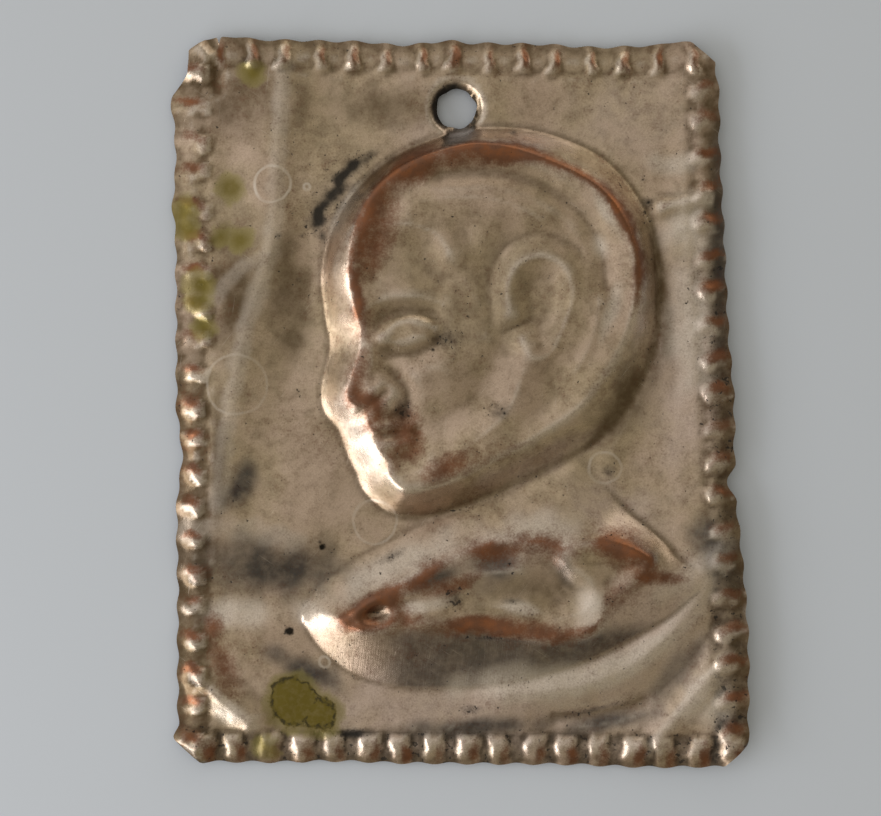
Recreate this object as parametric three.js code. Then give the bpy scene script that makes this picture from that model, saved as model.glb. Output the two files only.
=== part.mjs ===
import * as THREE from 'three';

// Votive plaque, in millimetres. X runs across it, Y up it, Z out of its face.
// It is one thin sheet that lies on its back. The relief is struck up from behind,
// so the back follows the front, one sheet thickness lower.

const plaqueWidth = 50.4;
const plaqueHeight = 64;
const sheetThickness = 0.3;
const reliefRise = 2.3;

// Outline: four hand-cut sides between these corners, clockwise from the top left,
// in shares of the plaque's width and height
const cornerShares = [[-0.498, 0.500], [0.442, 0.489], [0.500, -0.498], [-0.492, -0.492]];
const stepShares = [[-0.474, 0.450], [-0.473, 0.484]];

// Ribs across the border, punched side by side
const ribPitch = 2.98;
const rib = {
  rise: 0.17 * reliefRise,
  valley: 0.05 * reliefRise,
  end: 0.30 * ribPitch,
  length: 0.97 * ribPitch,
  band: 1.1 * ribPitch,
  scallop: 0.035 * ribPitch,
  wiggle: 0.03 * ribPitch,
  wiggleWave: 0.55 * ribPitch,
};
const edgeDrop = 0.16 * reliefRise;

// Along a side, first, last, start, trim, at and reach are shares of its length.
// Margins outside the ribs, and bulges or nicks of the cut edge, are shares of the band.
// A rib's half foot and half crest are shares of the pitch, and taper narrows its inner end.
// A taper below zero widens it.
// Tall scales the ribs of a side, and slant leans them along it.
const sides = [
  {
    name: 'top', first: 0.080, last: 0.957, start: 0.055, trim: 0.042, margin: 0.08, wideMargin: 0,
    foot: 0.21, crest: 0.03, taper: -0.80, tall: 0.90, slant: 0.02,
    bulges: [
      { at: 0.110, reach: 0.046, out: 0.09 }, { at: 0.417, reach: 0.074, out: -0.08 },
      { at: 0.506, reach: 0.034, out: 0.06 }, { at: 0.780, reach: 0.105, out: -0.06 },
      { at: 0.934, reach: 0.046, out: 0.12 },
    ],
  },
  {
    name: 'right', first: 0.060, last: 0.953, start: 0.024, trim: 0.032, margin: 0.06, wideMargin: 0,
    foot: 0.38, crest: 0.05, taper: 0.30, tall: 0.75, slant: 0,
    bulges: [
      { at: 0.079, reach: 0.047, out: 0.05 }, { at: 0.490, reach: 0.095, out: 0.06 },
      { at: 0.607, reach: 0.027, out: -0.20 }, { at: 0.806, reach: 0.190, out: 0.14 },
    ],
  },
  {
    name: 'bottom', first: 0.028, last: 0.956, start: 0.042, trim: 0.040, margin: 0.05, wideMargin: 0,
    foot: 0.37, crest: 0.19, taper: 0.04, tall: 0.70, slant: 0.03,
    bulges: [{ at: 0.180, reach: 0.140, out: 0.05 }, { at: 0.720, reach: 0.120, out: -0.04 }],
  },
  {
    name: 'left', first: 0.030, last: 0.951, start: 0.033, trim: 0.080, margin: 0.06, wideMargin: 0.30,
    foot: 0.34, crest: 0.14, taper: 0.20, tall: 0.62, slant: -0.14,
    bulges: [
      { at: 0.033, reach: 0.020, out: 0.10 }, { at: 0.424, reach: 0.066, out: -0.14 },
      { at: 0.769, reach: 0.047, out: 0.08 }, { at: 0.920, reach: 0.063, out: 0.10 },
    ],
  },
];

// Torn top left corner, with a crease running down from it
const split = { at: 0.082, halfWidth: 0.16, depth: 0.7 };

// The right edge curls up off the table
const curl = { from: 0.26 * plaqueWidth, rise: 0.48 * reliefRise };

// Hanging hole, punched from the front so that its rim turns down
const hole = {
  x: -0.007 * plaqueWidth,
  y: 0.404 * plaqueHeight,
  radius: 1.75,
  ragged: 0.05,
  funnel: 0.75,
  drop: 0.26 * reliefRise,
};

// Head in profile: shares of its own height, u towards the face and v up
const head = {
  height: 0.45 * plaqueHeight,
  x: 0.052 * plaqueWidth,
  y: 0.127 * plaqueHeight,
  tilt: 11,
  rise: reliefRise,
  dish: 0.15 * reliefRise,
  dishWidth: 2.2,
};
const headCrestShares = [
  [0.020, 0.497], [0.200, 0.462], [0.325, 0.365], [0.386, 0.225], [0.402, 0.090],
  [0.390, 0.018], [0.416, -0.062], [0.468, -0.158], [0.458, -0.198], [0.410, -0.222],
  [0.426, -0.274], [0.406, -0.310], [0.415, -0.346], [0.385, -0.390], [0.392, -0.440],
  [0.345, -0.488], [0.230, -0.485], [0.100, -0.452], [-0.060, -0.405], [-0.200, -0.345],
  [-0.320, -0.240], [-0.410, -0.110], [-0.452, 0.020], [-0.452, 0.150], [-0.395, 0.285],
  [-0.260, 0.400], [-0.120, 0.475],
];
const headFootShares = [
  [0.002, 0.556], [0.215, 0.510], [0.385, 0.395], [0.478, 0.235], [0.500, 0.080], [0.505, -0.020],
  [0.552, -0.130], [0.560, -0.205], [0.527, -0.275], [0.517, -0.345], [0.500, -0.410], [0.485, -0.475],
  [0.415, -0.552], [0.300, -0.582], [0.149, -0.563], [0.000, -0.528], [-0.180, -0.475], [-0.300, -0.415],
  [-0.420, -0.290], [-0.500, -0.120], [-0.530, 0.040], [-0.526, 0.195], [-0.470, 0.330], [-0.393, 0.422],
  [-0.270, 0.500], [-0.137, 0.543],
];
const headStrokes = [
  {
    part: 'brow', width: 0.042, rise: 0.18,
    line: [[0.375, 0.070], [0.300, 0.092], [0.210, 0.080], [0.140, 0.045]],
  },
  { part: 'eye socket', line: [[0.350, 0.022], [0.270, 0.036], [0.180, 0.018]], width: 0.038, rise: -0.17 },
  { part: 'eyeball', line: [[0.300, -0.014], [0.245, -0.018]], width: 0.040, rise: 0.17 },
  {
    part: 'upper lid', width: 0.017, rise: 0.13,
    line: [[0.335, -0.020], [0.290, 0.010], [0.235, 0.010], [0.178, -0.024]],
  },
  { part: 'lower lid', line: [[0.330, -0.032], [0.275, -0.052], [0.215, -0.044]], width: 0.017, rise: 0.08 },
  {
    part: 'under the eye', width: 0.035, rise: -0.12,
    line: [[0.320, -0.078], [0.250, -0.092], [0.180, -0.070]],
  },
  { part: 'nose side', line: [[0.362, -0.010], [0.385, -0.090], [0.410, -0.150]], width: 0.035, rise: 0.14 },
  {
    part: 'nose wing', width: 0.024, rise: 0.16,
    line: [[0.392, -0.172], [0.355, -0.160], [0.335, -0.190], [0.360, -0.214]],
  },
  {
    part: 'wing groove', width: 0.028, rise: -0.15,
    line: [[0.318, -0.150], [0.298, -0.205], [0.315, -0.262]],
  },
  { part: 'upper lip', line: [[0.400, -0.286], [0.355, -0.290], [0.310, -0.304]], width: 0.021, rise: 0.11 },
  { part: 'lip seam', line: [[0.398, -0.312], [0.350, -0.313], [0.295, -0.318]], width: 0.016, rise: -0.15 },
  { part: 'lower lip', line: [[0.390, -0.338], [0.350, -0.342], [0.318, -0.336]], width: 0.021, rise: 0.11 },
  { part: 'chin fold', line: [[0.362, -0.386], [0.310, -0.390]], width: 0.031, rise: -0.12 },
  { part: 'chin', line: [[0.335, -0.436], [0.300, -0.436]], width: 0.056, rise: 0.16 },
  { part: 'cheek', line: [[0.215, -0.135], [0.165, -0.160]], width: 0.104, rise: 0.22 },
  { part: 'cheek hollow', line: [[0.200, -0.290], [0.110, -0.250]], width: 0.076, rise: -0.14 },
  {
    part: 'jaw', width: 0.056, rise: 0.22,
    line: [[0.250, -0.430], [0.130, -0.385], [0.010, -0.310], [-0.060, -0.205]],
  },
  {
    part: 'temple', width: 0.042, rise: 0.08,
    line: [[0.090, 0.190], [0.060, 0.090], [0.025, 0.010], [0.030, -0.070]],
  },
  { part: 'temple hollow', line: [[0.180, 0.180], [0.140, 0.110]], width: 0.062, rise: -0.12 },
  {
    part: 'hair front', width: 0.038, rise: 0.16,
    line: [[0.300, 0.320], [0.200, 0.300], [0.120, 0.255], [0.090, 0.190]],
  },
  {
    part: 'ear rim', width: 0.036, rise: 0.19,
    line: [
      [-0.055, -0.020], [-0.062, 0.055], [-0.105, 0.115], [-0.180, 0.130], [-0.240, 0.085],
      [-0.250, 0.000], [-0.205, -0.090], [-0.150, -0.165], [-0.095, -0.165], [-0.075, -0.110],
    ],
  },
  { part: 'ear shell', line: [[-0.150, 0.040], [-0.160, -0.030]], width: 0.062, rise: -0.10 },
  {
    part: 'groove round the ear', width: 0.040, rise: -0.12,
    line: [[0.000, -0.020], [-0.012, 0.085], [-0.080, 0.180], [-0.190, 0.200], [-0.300, 0.130]],
  },
  { part: 'ear lobe', line: [[-0.112, -0.130], [-0.125, -0.120]], width: 0.038, rise: 0.13 },
  { part: 'nape', line: [[-0.330, -0.020], [-0.290, -0.130], [-0.220, -0.230]], width: 0.049, rise: 0.16 },
  {
    part: 'upper hair', width: 0.040, rise: 0.11,
    line: [[0.170, 0.360], [0.030, 0.350], [-0.100, 0.310], [-0.200, 0.240]],
  },
  {
    part: 'hollow under the crest', width: 0.026, rise: -0.15,
    line: [
      [0.070, 0.425], [-0.090, 0.400], [-0.215, 0.340], [-0.315, 0.240], [-0.360, 0.120], [-0.352, 0.000],
    ],
  },
];

// Bust below the head: a pointed boat form with a dished top, in shares of its own length
const bust = {
  length: 0.697 * plaqueWidth,
  x: 0.072 * plaqueWidth,
  y: -0.236 * plaqueHeight,
  rise: 0.91 * reliefRise,
  dish: 0.22 * reliefRise,
  dishWidth: 2.0,
};
const bustCrestShares = [
  [-0.385, -0.108], [-0.291, -0.037], [-0.154, 0.034], [-0.006, 0.088], [0.148, 0.080], [0.268, 0.085],
  [0.362, 0.043], [0.330, -0.014], [0.265, -0.066], [0.222, -0.125], [0.114, -0.154], [-0.054, -0.128],
  [-0.205, -0.117], [-0.328, -0.128],
];
const bustFootShares = [
  [-0.499, -0.100], [-0.464, -0.031], [-0.390, 0.026], [-0.291, 0.085], [-0.179, 0.140], [-0.080, 0.174],
  [0.034, 0.217], [0.123, 0.262], [0.185, 0.285], [0.239, 0.242], [0.308, 0.171], [0.385, 0.105],
  [0.450, 0.043], [0.501, -0.009], [0.473, -0.051], [0.407, -0.108], [0.296, -0.174], [0.171, -0.231],
  [0.020, -0.271], [-0.128, -0.285], [-0.254, -0.282], [-0.368, -0.251], [-0.442, -0.197], [-0.484, -0.145],
];
const bustStrokes = [
  { part: 'tip crease', line: [[-0.490, -0.104], [-0.400, -0.108]], width: 0.014, rise: 0.10 },
  {
    part: 'button rim', width: 0.020, rise: 0.16,
    line: [
      [-0.359, -0.088], [-0.313, -0.060], [-0.274, -0.083],
      [-0.291, -0.120], [-0.342, -0.123], [-0.359, -0.088],
    ],
  },
  { part: 'button', line: [[-0.319, -0.091], [-0.308, -0.091]], width: 0.024, rise: -0.16 },
  {
    part: 'upper fold', width: 0.034, rise: 0.20,
    line: [[-0.234, -0.043], [-0.103, -0.003], [0.040, 0.020]],
  },
  {
    part: 'lower fold', width: 0.031, rise: 0.18,
    line: [[-0.188, -0.083], [-0.046, -0.071], [0.083, -0.088]],
  },
  {
    part: 'lappet', width: 0.024, rise: 0.15,
    line: [[0.160, 0.034], [0.222, -0.020], [0.204, -0.080], [0.135, -0.105]],
  },
  { part: 'lappet hollow', line: [[0.142, -0.031], [0.154, -0.043]], width: 0.043, rise: -0.16 },
  { part: 'shoulder', line: [[0.197, 0.043], [0.313, 0.043]], width: 0.040, rise: 0.16 },
  { part: 'tail fold', line: [[0.225, -0.157], [0.342, -0.094], [0.439, -0.014]], width: 0.031, rise: 0.17 },
  { part: 'tail valley', line: [[0.302, -0.043], [0.422, 0.003]], width: 0.037, rise: -0.13 },
];

// Folds and dents of the field round the two reliefs, in shares of the plaque's width and height
const fieldStrokes = [
  {
    part: 'long fold', width: 0.036, rise: 0.22,
    line: [
      [-0.306, 0.461], [-0.317, 0.344], [-0.329, 0.211], [-0.373, 0.102], [-0.409, -0.055], [-0.421, -0.141],
    ],
  },
  { part: 'side fold', line: [[-0.333, 0.203], [-0.385, 0.180], [-0.428, 0.140]], width: 0.022, rise: 0.10 },
  {
    part: 'fold by the head', width: 0.030, rise: -0.10,
    line: [[-0.289, 0.328], [-0.262, 0.180], [-0.290, 0.040]],
  },
  {
    part: 'left shelf', width: 0.030, rise: 0.12,
    line: [[-0.476, -0.176], [-0.377, -0.172], [-0.288, -0.190]],
  },
  {
    part: 'left trough', width: 0.030, rise: -0.18,
    line: [[-0.480, -0.262], [-0.377, -0.262], [-0.300, -0.252]],
  },
  { part: 'right crease', line: [[0.352, 0.268], [0.395, 0.274], [0.430, 0.276]], width: 0.009, rise: 0.17 },
  { part: 'right step', line: [[0.385, 0.240], [0.445, 0.225]], width: 0.030, rise: 0.09 },
  {
    part: 'pull', width: 0.026, rise: 0.20,
    line: [[0.080, -0.398], [0.235, -0.380], [0.350, -0.326], [0.428, -0.248]],
  },
  {
    part: 'pull valley', width: 0.027, rise: -0.17,
    line: [[0.170, -0.446], [0.290, -0.424], [0.372, -0.376], [0.448, -0.298]],
  },
  {
    part: 'pull crease', width: 0.008, rise: -0.11,
    line: [[0.165, -0.430], [0.250, -0.425], [0.315, -0.411]],
  },
  { part: 'tail pull', line: [[0.347, -0.262], [0.420, -0.222], [0.462, -0.190]], width: 0.022, rise: 0.12 },
  {
    part: 'corner fold', width: 0.014, rise: 0.17,
    line: [[0.325, -0.475], [0.375, -0.425], [0.422, -0.381], [0.455, -0.348]],
  },
  { part: 'corner swell', line: [[-0.440, -0.386], [-0.365, -0.434]], width: 0.018, rise: 0.32 },
  { part: 'swell at the hole', line: [[-0.060, 0.431], [0.048, 0.434]], width: 0.047, rise: 0.11 },
  { part: 'nape fold', line: [[0.262, -0.066], [0.300, -0.010], [0.331, 0.039]], width: 0.018, rise: 0.08 },
  { part: 'torn crease', line: [[-0.423, 0.484], [-0.425, 0.431]], width: 0.008, rise: -0.13 },
  { part: 'lump at the step', line: [[-0.476, 0.456], [-0.450, 0.455]], width: 0.010, rise: 0.22 },
  { part: 'lump at the tear', line: [[-0.454, 0.487], [-0.440, 0.472]], width: 0.009, rise: 0.20 },
  { part: 'turned corner', line: [[-0.484, -0.466], [-0.454, -0.486]], width: 0.011, rise: 0.20 },
];

const headBustBlend = 0.15 * reliefRise;

function clamp01(t) {
  return Math.min(1, Math.max(0, t));
}

function smooth(t) {
  const c = clamp01(t);
  return c * c * (3 - 2 * c);
}

function curve(points, closed, steps) {
  const out = [];
  const count = points.length;
  const spans = closed ? count : count - 1;
  const pick = (i) => (closed ? points[(i + count) % count] : points[Math.min(Math.max(i, 0), count - 1)]);
  for (let i = 0; i < spans; i += 1) {
    const [a, b, c, d] = [pick(i - 1), pick(i), pick(i + 1), pick(i + 2)];
    for (let j = 0; j < steps; j += 1) {
      const t = j / steps;
      out.push([0, 1].map((k) => 0.5 * (2 * b[k] + (c[k] - a[k]) * t
        + (2 * a[k] - 5 * b[k] + 4 * c[k] - d[k]) * t * t
        + (3 * b[k] - a[k] - 3 * c[k] + d[k]) * t * t * t)));
    }
  }
  if (!closed) out.push(points[count - 1]);
  return out;
}

function nearest(x, y, line, closed) {
  let best = { d: Infinity, x: 0, y: 0 };
  const last = closed ? line.length : line.length - 1;
  for (let i = 0; i < last; i += 1) {
    const [ax, ay] = line[i];
    const [bx, by] = line[(i + 1) % line.length];
    const dx = bx - ax;
    const dy = by - ay;
    const t = clamp01(((x - ax) * dx + (y - ay) * dy) / Math.max(dx * dx + dy * dy, 1e-12));
    const px = ax + t * dx;
    const py = ay + t * dy;
    const d = Math.hypot(x - px, y - py);
    if (d < best.d) best = { d, x: px, y: py };
  }
  return best;
}

function within(x, y, loop) {
  let odd = false;
  for (let i = 0; i < loop.length; i += 1) {
    const [ax, ay] = loop[i];
    const [bx, by] = loop[(i + 1) % loop.length];
    if ((ay > y) !== (by > y) && x < ((bx - ax) * (y - ay)) / (by - ay) + ax) odd = !odd;
  }
  return odd;
}

function fromHead([u, v]) {
  const turn = THREE.MathUtils.degToRad(head.tilt);
  const x = -u * head.height;
  const y = v * head.height;
  return [
    head.x + Math.cos(turn) * x - Math.sin(turn) * y,
    head.y + Math.sin(turn) * x + Math.cos(turn) * y,
  ];
}

function fromBust([u, v]) {
  return [bust.x + u * bust.length, bust.y + v * bust.length];
}

function fromPlaque([u, v]) {
  return [u * plaqueWidth, v * plaqueHeight];
}

const curveSteps = 8;
const strokeSteps = 6;
const headCrest = curve(headCrestShares.map(fromHead), true, curveSteps);
const headFoot = curve(headFootShares.map(fromHead), true, curveSteps);
const bustCrest = curve(bustCrestShares.map(fromBust), true, curveSteps);
const bustFoot = curve(bustFootShares.map(fromBust), true, curveSteps);

// Stroke widths are shares of the form they lie on, their rises shares of the relief
function drawn(stroke, place, size) {
  return {
    width: stroke.width * size,
    rise: stroke.rise * reliefRise,
    path: curve(stroke.line.map(place), false, strokeSteps),
  };
}

const headMarks = headStrokes.map((stroke) => drawn(stroke, fromHead, head.height));
const bustMarks = bustStrokes.map((stroke) => drawn(stroke, fromBust, bust.length));
const fieldMarks = fieldStrokes.map((stroke) => drawn(stroke, fromPlaque, plaqueHeight));

// A stroke is a ridge or groove along its path, gone at twice its width: part round bell, part sharp
function strokes(x, y, marks) {
  let z = 0;
  for (const mark of marks) {
    const share = 1 - nearest(x, y, mark.path, false).d / (2 * mark.width);
    if (share > 0) z += mark.rise * (0.45 * (1 - (1 - share) ** 2) ** 2 + 0.55 * share ** 1.6);
  }
  return z;
}

// A raised form climbs from its foot line to its crest line and is dished inside
function raised(x, y, foot, crest, form) {
  if (!within(x, y, foot)) return { z: 0, inward: -nearest(x, y, crest, true).d };
  const toCrest = nearest(x, y, crest, true).d;
  if (within(x, y, crest)) {
    return { z: form.rise - form.dish * smooth(toCrest / form.dishWidth), inward: toCrest };
  }
  const share = nearest(x, y, foot, true).d;
  const climb = share / (share + toCrest);
  return { z: form.rise * (0.3 * smooth(climb) + 0.7 * climb), inward: -toCrest };
}

// Per-rib unevenness of the hand punch, between -1 and 1
function uneven(sideIndex, ribIndex, kind) {
  return Math.sin(ribIndex * 2.4 + sideIndex * 1.7 + kind * 4.1);
}

const corners = cornerShares.map(fromPlaque);
sides.forEach((side, index) => {
  const a = corners[index];
  const b = corners[(index + 1) % corners.length];
  side.length = Math.hypot(b[0] - a[0], b[1] - a[1]);
  side.from = a;
  side.along = [(b[0] - a[0]) / side.length, (b[1] - a[1]) / side.length];
  side.inward = [side.along[1], -side.along[0]];
  const run = (side.last - side.first) * side.length;
  const gaps = Math.round(run / ribPitch);
  side.pitch = run / gaps;
  side.punched = [];
  for (let k = 0; k <= gaps; k += 1) {
    const wide = side.wideMargin * smooth((k - gaps / 2) / 2);
    side.punched.push({
      at: side.first * side.length + k * side.pitch + 0.055 * ribPitch * uneven(index, k, 0),
      rise: side.tall * rib.rise * (1 + 0.30 * uneven(index, k, 1)),
      margin: rib.band * (side.margin + 0.035 * uneven(index, k, 2) + wide),
      lean: side.slant + 0.14 * uneven(index, k, 3),
      plump: 1 + 0.12 * uneven(index, k, 4),
    });
  }
});

function cutEdge(side, s) {
  let out = rib.scallop * Math.cos((2 * Math.PI * (s - side.first * side.length)) / side.pitch);
  for (const bulge of side.bulges) {
    const share = 1 - ((s / side.length - bulge.at) / bulge.reach) ** 2;
    if (share > 0) out += bulge.out * rib.band * share * share;
  }
  return out;
}

function onSide(side, s, q) {
  const out = cutEdge(side, s);
  const depth = (q * (rib.band + out)) / rib.band - out;
  return [
    side.from[0] + side.along[0] * s + side.inward[0] * depth,
    side.from[1] + side.along[1] * s + side.inward[1] * depth,
  ];
}

// Half the width of a rib, and the middle of its crest, at a depth inside the edge
function halfFoot(side, bar, q) {
  const inner = bar.margin / 2 + rib.length;
  return side.foot * ribPitch * bar.plump * (1 - side.taper * smooth((2 * q) / inner - 1));
}

function middle(bar, q) {
  const wiggle = rib.wiggle * Math.sin((2 * Math.PI * q) / rib.wiggleWave + 9 * bar.at);
  return bar.at + bar.lean * (q - rib.band / 2) - wiggle;
}

function border(x, y) {
  let z = 0;
  let edge = Infinity;
  for (const side of sides) {
    const dx = x - side.from[0];
    const dy = y - side.from[1];
    const s = dx * side.along[0] + dy * side.along[1];
    const straight = dx * side.inward[0] + dy * side.inward[1];
    const out = cutEdge(side, s);
    const q = straight < rib.band ? ((straight + out) * rib.band) / (rib.band + out) : straight;
    edge = Math.min(edge, q);
    if (q > rib.band) continue;
    const ends = smooth(s / ribPitch - 0.3) * smooth((side.length - s) / ribPitch - 0.3);
    z -= rib.valley * smooth((rib.band - q) / rib.end) * ends;
    for (const bar of side.punched) {
      const half = halfFoot(side, bar, q);
      const climb = clamp01((half - Math.abs(s - middle(bar, q))) / (half - side.crest * ribPitch));
      const across = 0.4 * smooth(climb) + 0.6 * climb;
      const outerEnd = smooth((q - bar.margin) / (3 * rib.end) + 0.2);
      const innerEnd = smooth((bar.margin / 2 + rib.length - q) / rib.end);
      z += (bar.rise + rib.valley) * across * outerEnd * innerEnd;
    }
  }
  return z - edgeDrop * smooth(1 - edge / (0.6 * ribPitch));
}

function surface(x, y) {
  const face = raised(x, y, headFoot, headCrest, head);
  const chest = raised(x, y, bustFoot, bustCrest, bust);
  const faceZ = face.z + strokes(x, y, headMarks) * smooth((1 + face.inward) / 1.6);
  const chestZ = chest.z + (chest.z > 0 ? strokes(x, y, bustMarks) : 0);
  const top = Math.max(faceZ, chestZ);
  const low = Math.min(faceZ, chestZ);
  const near = headBustBlend - (top - low);
  let z = top + (near > 0 && low > 0 ? (near * near) / (4 * headBustBlend) : 0);
  z += strokes(x, y, fieldMarks) * smooth(1.2 - top);
  z += border(x, y);
  z -= hole.drop * smooth(1 - (Math.hypot(x - hole.x, y - hole.y) - hole.radius) / hole.funnel);
  return z + curl.rise * Math.max(0, (x - curl.from) / (plaqueWidth / 2 - curl.from)) ** 2;
}

// Spacings of the facets' corners
const mesh = {
  holeSteps: 18, fine: 1.16, coarse: 2.25, wall: 1.4, line: 0.9, edgeGap: 0.5, least: 0.28,
  ribRows: [0.25, 0.55, 0.80],
};

// Each rib's two feet and two crest edges at a depth inside the edge
function stopsAlong(side, q) {
  const stops = [];
  for (const bar of side.punched) {
    const at = middle(bar, q);
    const half = halfFoot(side, bar, q);
    const crest = side.crest * ribPitch;
    stops.push(at - half, at - crest, at + crest, at + half);
  }
  return stops;
}

function outline() {
  const loop = [];
  for (const side of sides) {
    const start = side.start * side.length;
    const end = (1 - side.trim) * side.length;
    const clear = 0.15 * ribPitch;
    const tear = side.name === 'top' ? split.at * side.length : -Infinity;
    const isFree = (s) => s > start + clear && s < end - clear && Math.abs(s - tear) > clear;
    const stops = stopsAlong(side, 0).filter(isFree);
    const cut = [[start, 0], ...stops.map((s) => [s, 0]), [end, 0]];
    if (side.name === 'top') {
      cut.push([tear - split.halfWidth, 0], [tear, split.depth], [tear + split.halfWidth, 0]);
    }
    cut.sort((a, b) => a[0] - b[0]);
    for (const [s, q] of cut) loop.push(onSide(side, s, q));
    if (side.name === 'left') loop.push(...stepShares.map(fromPlaque));
  }
  return loop;
}

function ring(radius, turn, ragged) {
  const points = [];
  for (let i = 0; i < mesh.holeSteps; i += 1) {
    const angle = (2 * Math.PI * (i + turn)) / mesh.holeSteps;
    const r = radius + ragged * (Math.sin(5 * angle + 1) + 0.6 * Math.sin(8 * angle));
    points.push([hole.x + r * Math.cos(angle), hole.y + r * Math.sin(angle)]);
  }
  return points;
}

function spaced(line, closed, gap) {
  const path = closed ? [...line, line[0]] : line;
  let total = 0;
  for (let i = 1; i < path.length; i += 1) {
    total += Math.hypot(path[i][0] - path[i - 1][0], path[i][1] - path[i - 1][1]);
  }
  const count = Math.max(1, Math.round(total / gap));
  const points = [];
  let walked = 0;
  let wanted = 0;
  for (let i = 1; i < path.length; i += 1) {
    const [ax, ay] = path[i - 1];
    const length = Math.hypot(path[i][0] - ax, path[i][1] - ay);
    while (points.length < count && wanted <= walked + length) {
      const t = length > 0 ? (wanted - walked) / length : 0;
      points.push([ax + t * (path[i][0] - ax), ay + t * (path[i][1] - ay)]);
      wanted += total / count;
    }
    walked += length;
  }
  if (!closed) points.push(path[path.length - 1]);
  return points;
}

// Points of the sheet: edges and feature lines first, then an even filling
function scatter(rim, bore) {
  const points = [...rim, ...bore];
  const add = ([x, y], gap, edgeGap) => {
    if (!within(x, y, rim) || nearest(x, y, rim, true).d < edgeGap) return;
    if (Math.hypot(x - hole.x, y - hole.y) < hole.radius + mesh.least / 2) return;
    if (points.every(([a, b]) => Math.hypot(a - x, b - y) > gap)) points.push([x, y]);
  };
  ring(hole.radius + hole.funnel / 2, 0.5, 0).forEach((point) => add(point, mesh.least, mesh.least));
  ring(hole.radius + hole.funnel, 0, 0).forEach((point) => add(point, mesh.least, mesh.least));
  for (const side of sides) {
    for (const share of mesh.ribRows) {
      const q = share * rib.band;
      for (const s of stopsAlong(side, q)) {
        if (s > q && s < side.length - q) add(onSide(side, s, q), mesh.least, mesh.least);
      }
    }
    for (const bar of side.punched) {
      for (const s of [bar.at - side.pitch / 4, bar.at + side.pitch / 4]) {
        if (s < rib.band || s > side.length - rib.band) continue;
        add(onSide(side, s, rib.band), mesh.edgeGap, mesh.edgeGap);
      }
    }
  }
  for (const [foot, crest] of [[headFoot, headCrest], [bustFoot, bustCrest]]) {
    spaced(crest, true, mesh.wall).forEach((point) => add(point, mesh.least, mesh.edgeGap));
    for (const point of spaced(foot, true, mesh.wall)) {
      add(point, mesh.edgeGap, mesh.edgeGap);
      const up = nearest(point[0], point[1], crest, true);
      add([(point[0] + up.x) / 2, (point[1] + up.y) / 2], mesh.edgeGap, mesh.edgeGap);
    }
  }
  for (const mark of [...headMarks, ...bustMarks]) {
    if (mark.width > mesh.wall) continue;
    spaced(mark.path, false, mesh.line).forEach((point) => add(point, mesh.edgeGap, mesh.edgeGap));
  }
  const fill = (spacing, wanted) => {
    const rows = Math.ceil(plaqueHeight / spacing);
    for (let row = -rows; row <= rows; row += 1) {
      for (let column = -rows; column <= rows; column += 1) {
        const nudge = 0.05 * spacing * Math.sin(row * 12.9 + column * 78.2);
        const x = (column + (row % 2) / 2) * spacing + nudge;
        const y = row * spacing * Math.sqrt(0.75) - nudge;
        if (wanted(x, y)) add([x, y], spacing * 0.68, mesh.edgeGap);
      }
    }
  };
  const onRelief = (x, y) => within(x, y, headFoot) || within(x, y, bustFoot);
  fill(mesh.fine, onRelief);
  fill(mesh.coarse, (x, y) => !onRelief(x, y));
  return points;
}

// Delaunay triangles: each new point opens the triangles whose circle holds it
function triangulate(points) {
  const far = 1000;
  const all = [...points, [-far, -far], [far, -far], [0, far]];
  const first = points.length;
  const circle = (a, b, c) => {
    const [ax, ay] = all[a];
    const [bx, by] = [all[b][0] - ax, all[b][1] - ay];
    const [cx, cy] = [all[c][0] - ax, all[c][1] - ay];
    const twice = 2 * (bx * cy - by * cx);
    const ux = (cy * (bx * bx + by * by) - by * (cx * cx + cy * cy)) / twice;
    const uy = (bx * (cx * cx + cy * cy) - cx * (bx * bx + by * by)) / twice;
    return { corners: [a, b, c], x: ax + ux, y: ay + uy, r2: ux * ux + uy * uy };
  };
  let triangles = [circle(first, first + 1, first + 2)];
  for (let i = 0; i < first; i += 1) {
    const [x, y] = all[i];
    const kept = [];
    const open = new Map();
    for (const triangle of triangles) {
      if ((triangle.x - x) ** 2 + (triangle.y - y) ** 2 >= triangle.r2) {
        kept.push(triangle);
        continue;
      }
      for (let k = 0; k < 3; k += 1) {
        const a = triangle.corners[k];
        const b = triangle.corners[(k + 1) % 3];
        if (!open.delete(`${b},${a}`)) open.set(`${a},${b}`, [a, b]);
      }
    }
    for (const [a, b] of open.values()) kept.push(circle(a, b, i));
    triangles = kept;
  }
  return triangles.map((triangle) => triangle.corners).filter((t) => Math.max(...t) < first);
}

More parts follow.
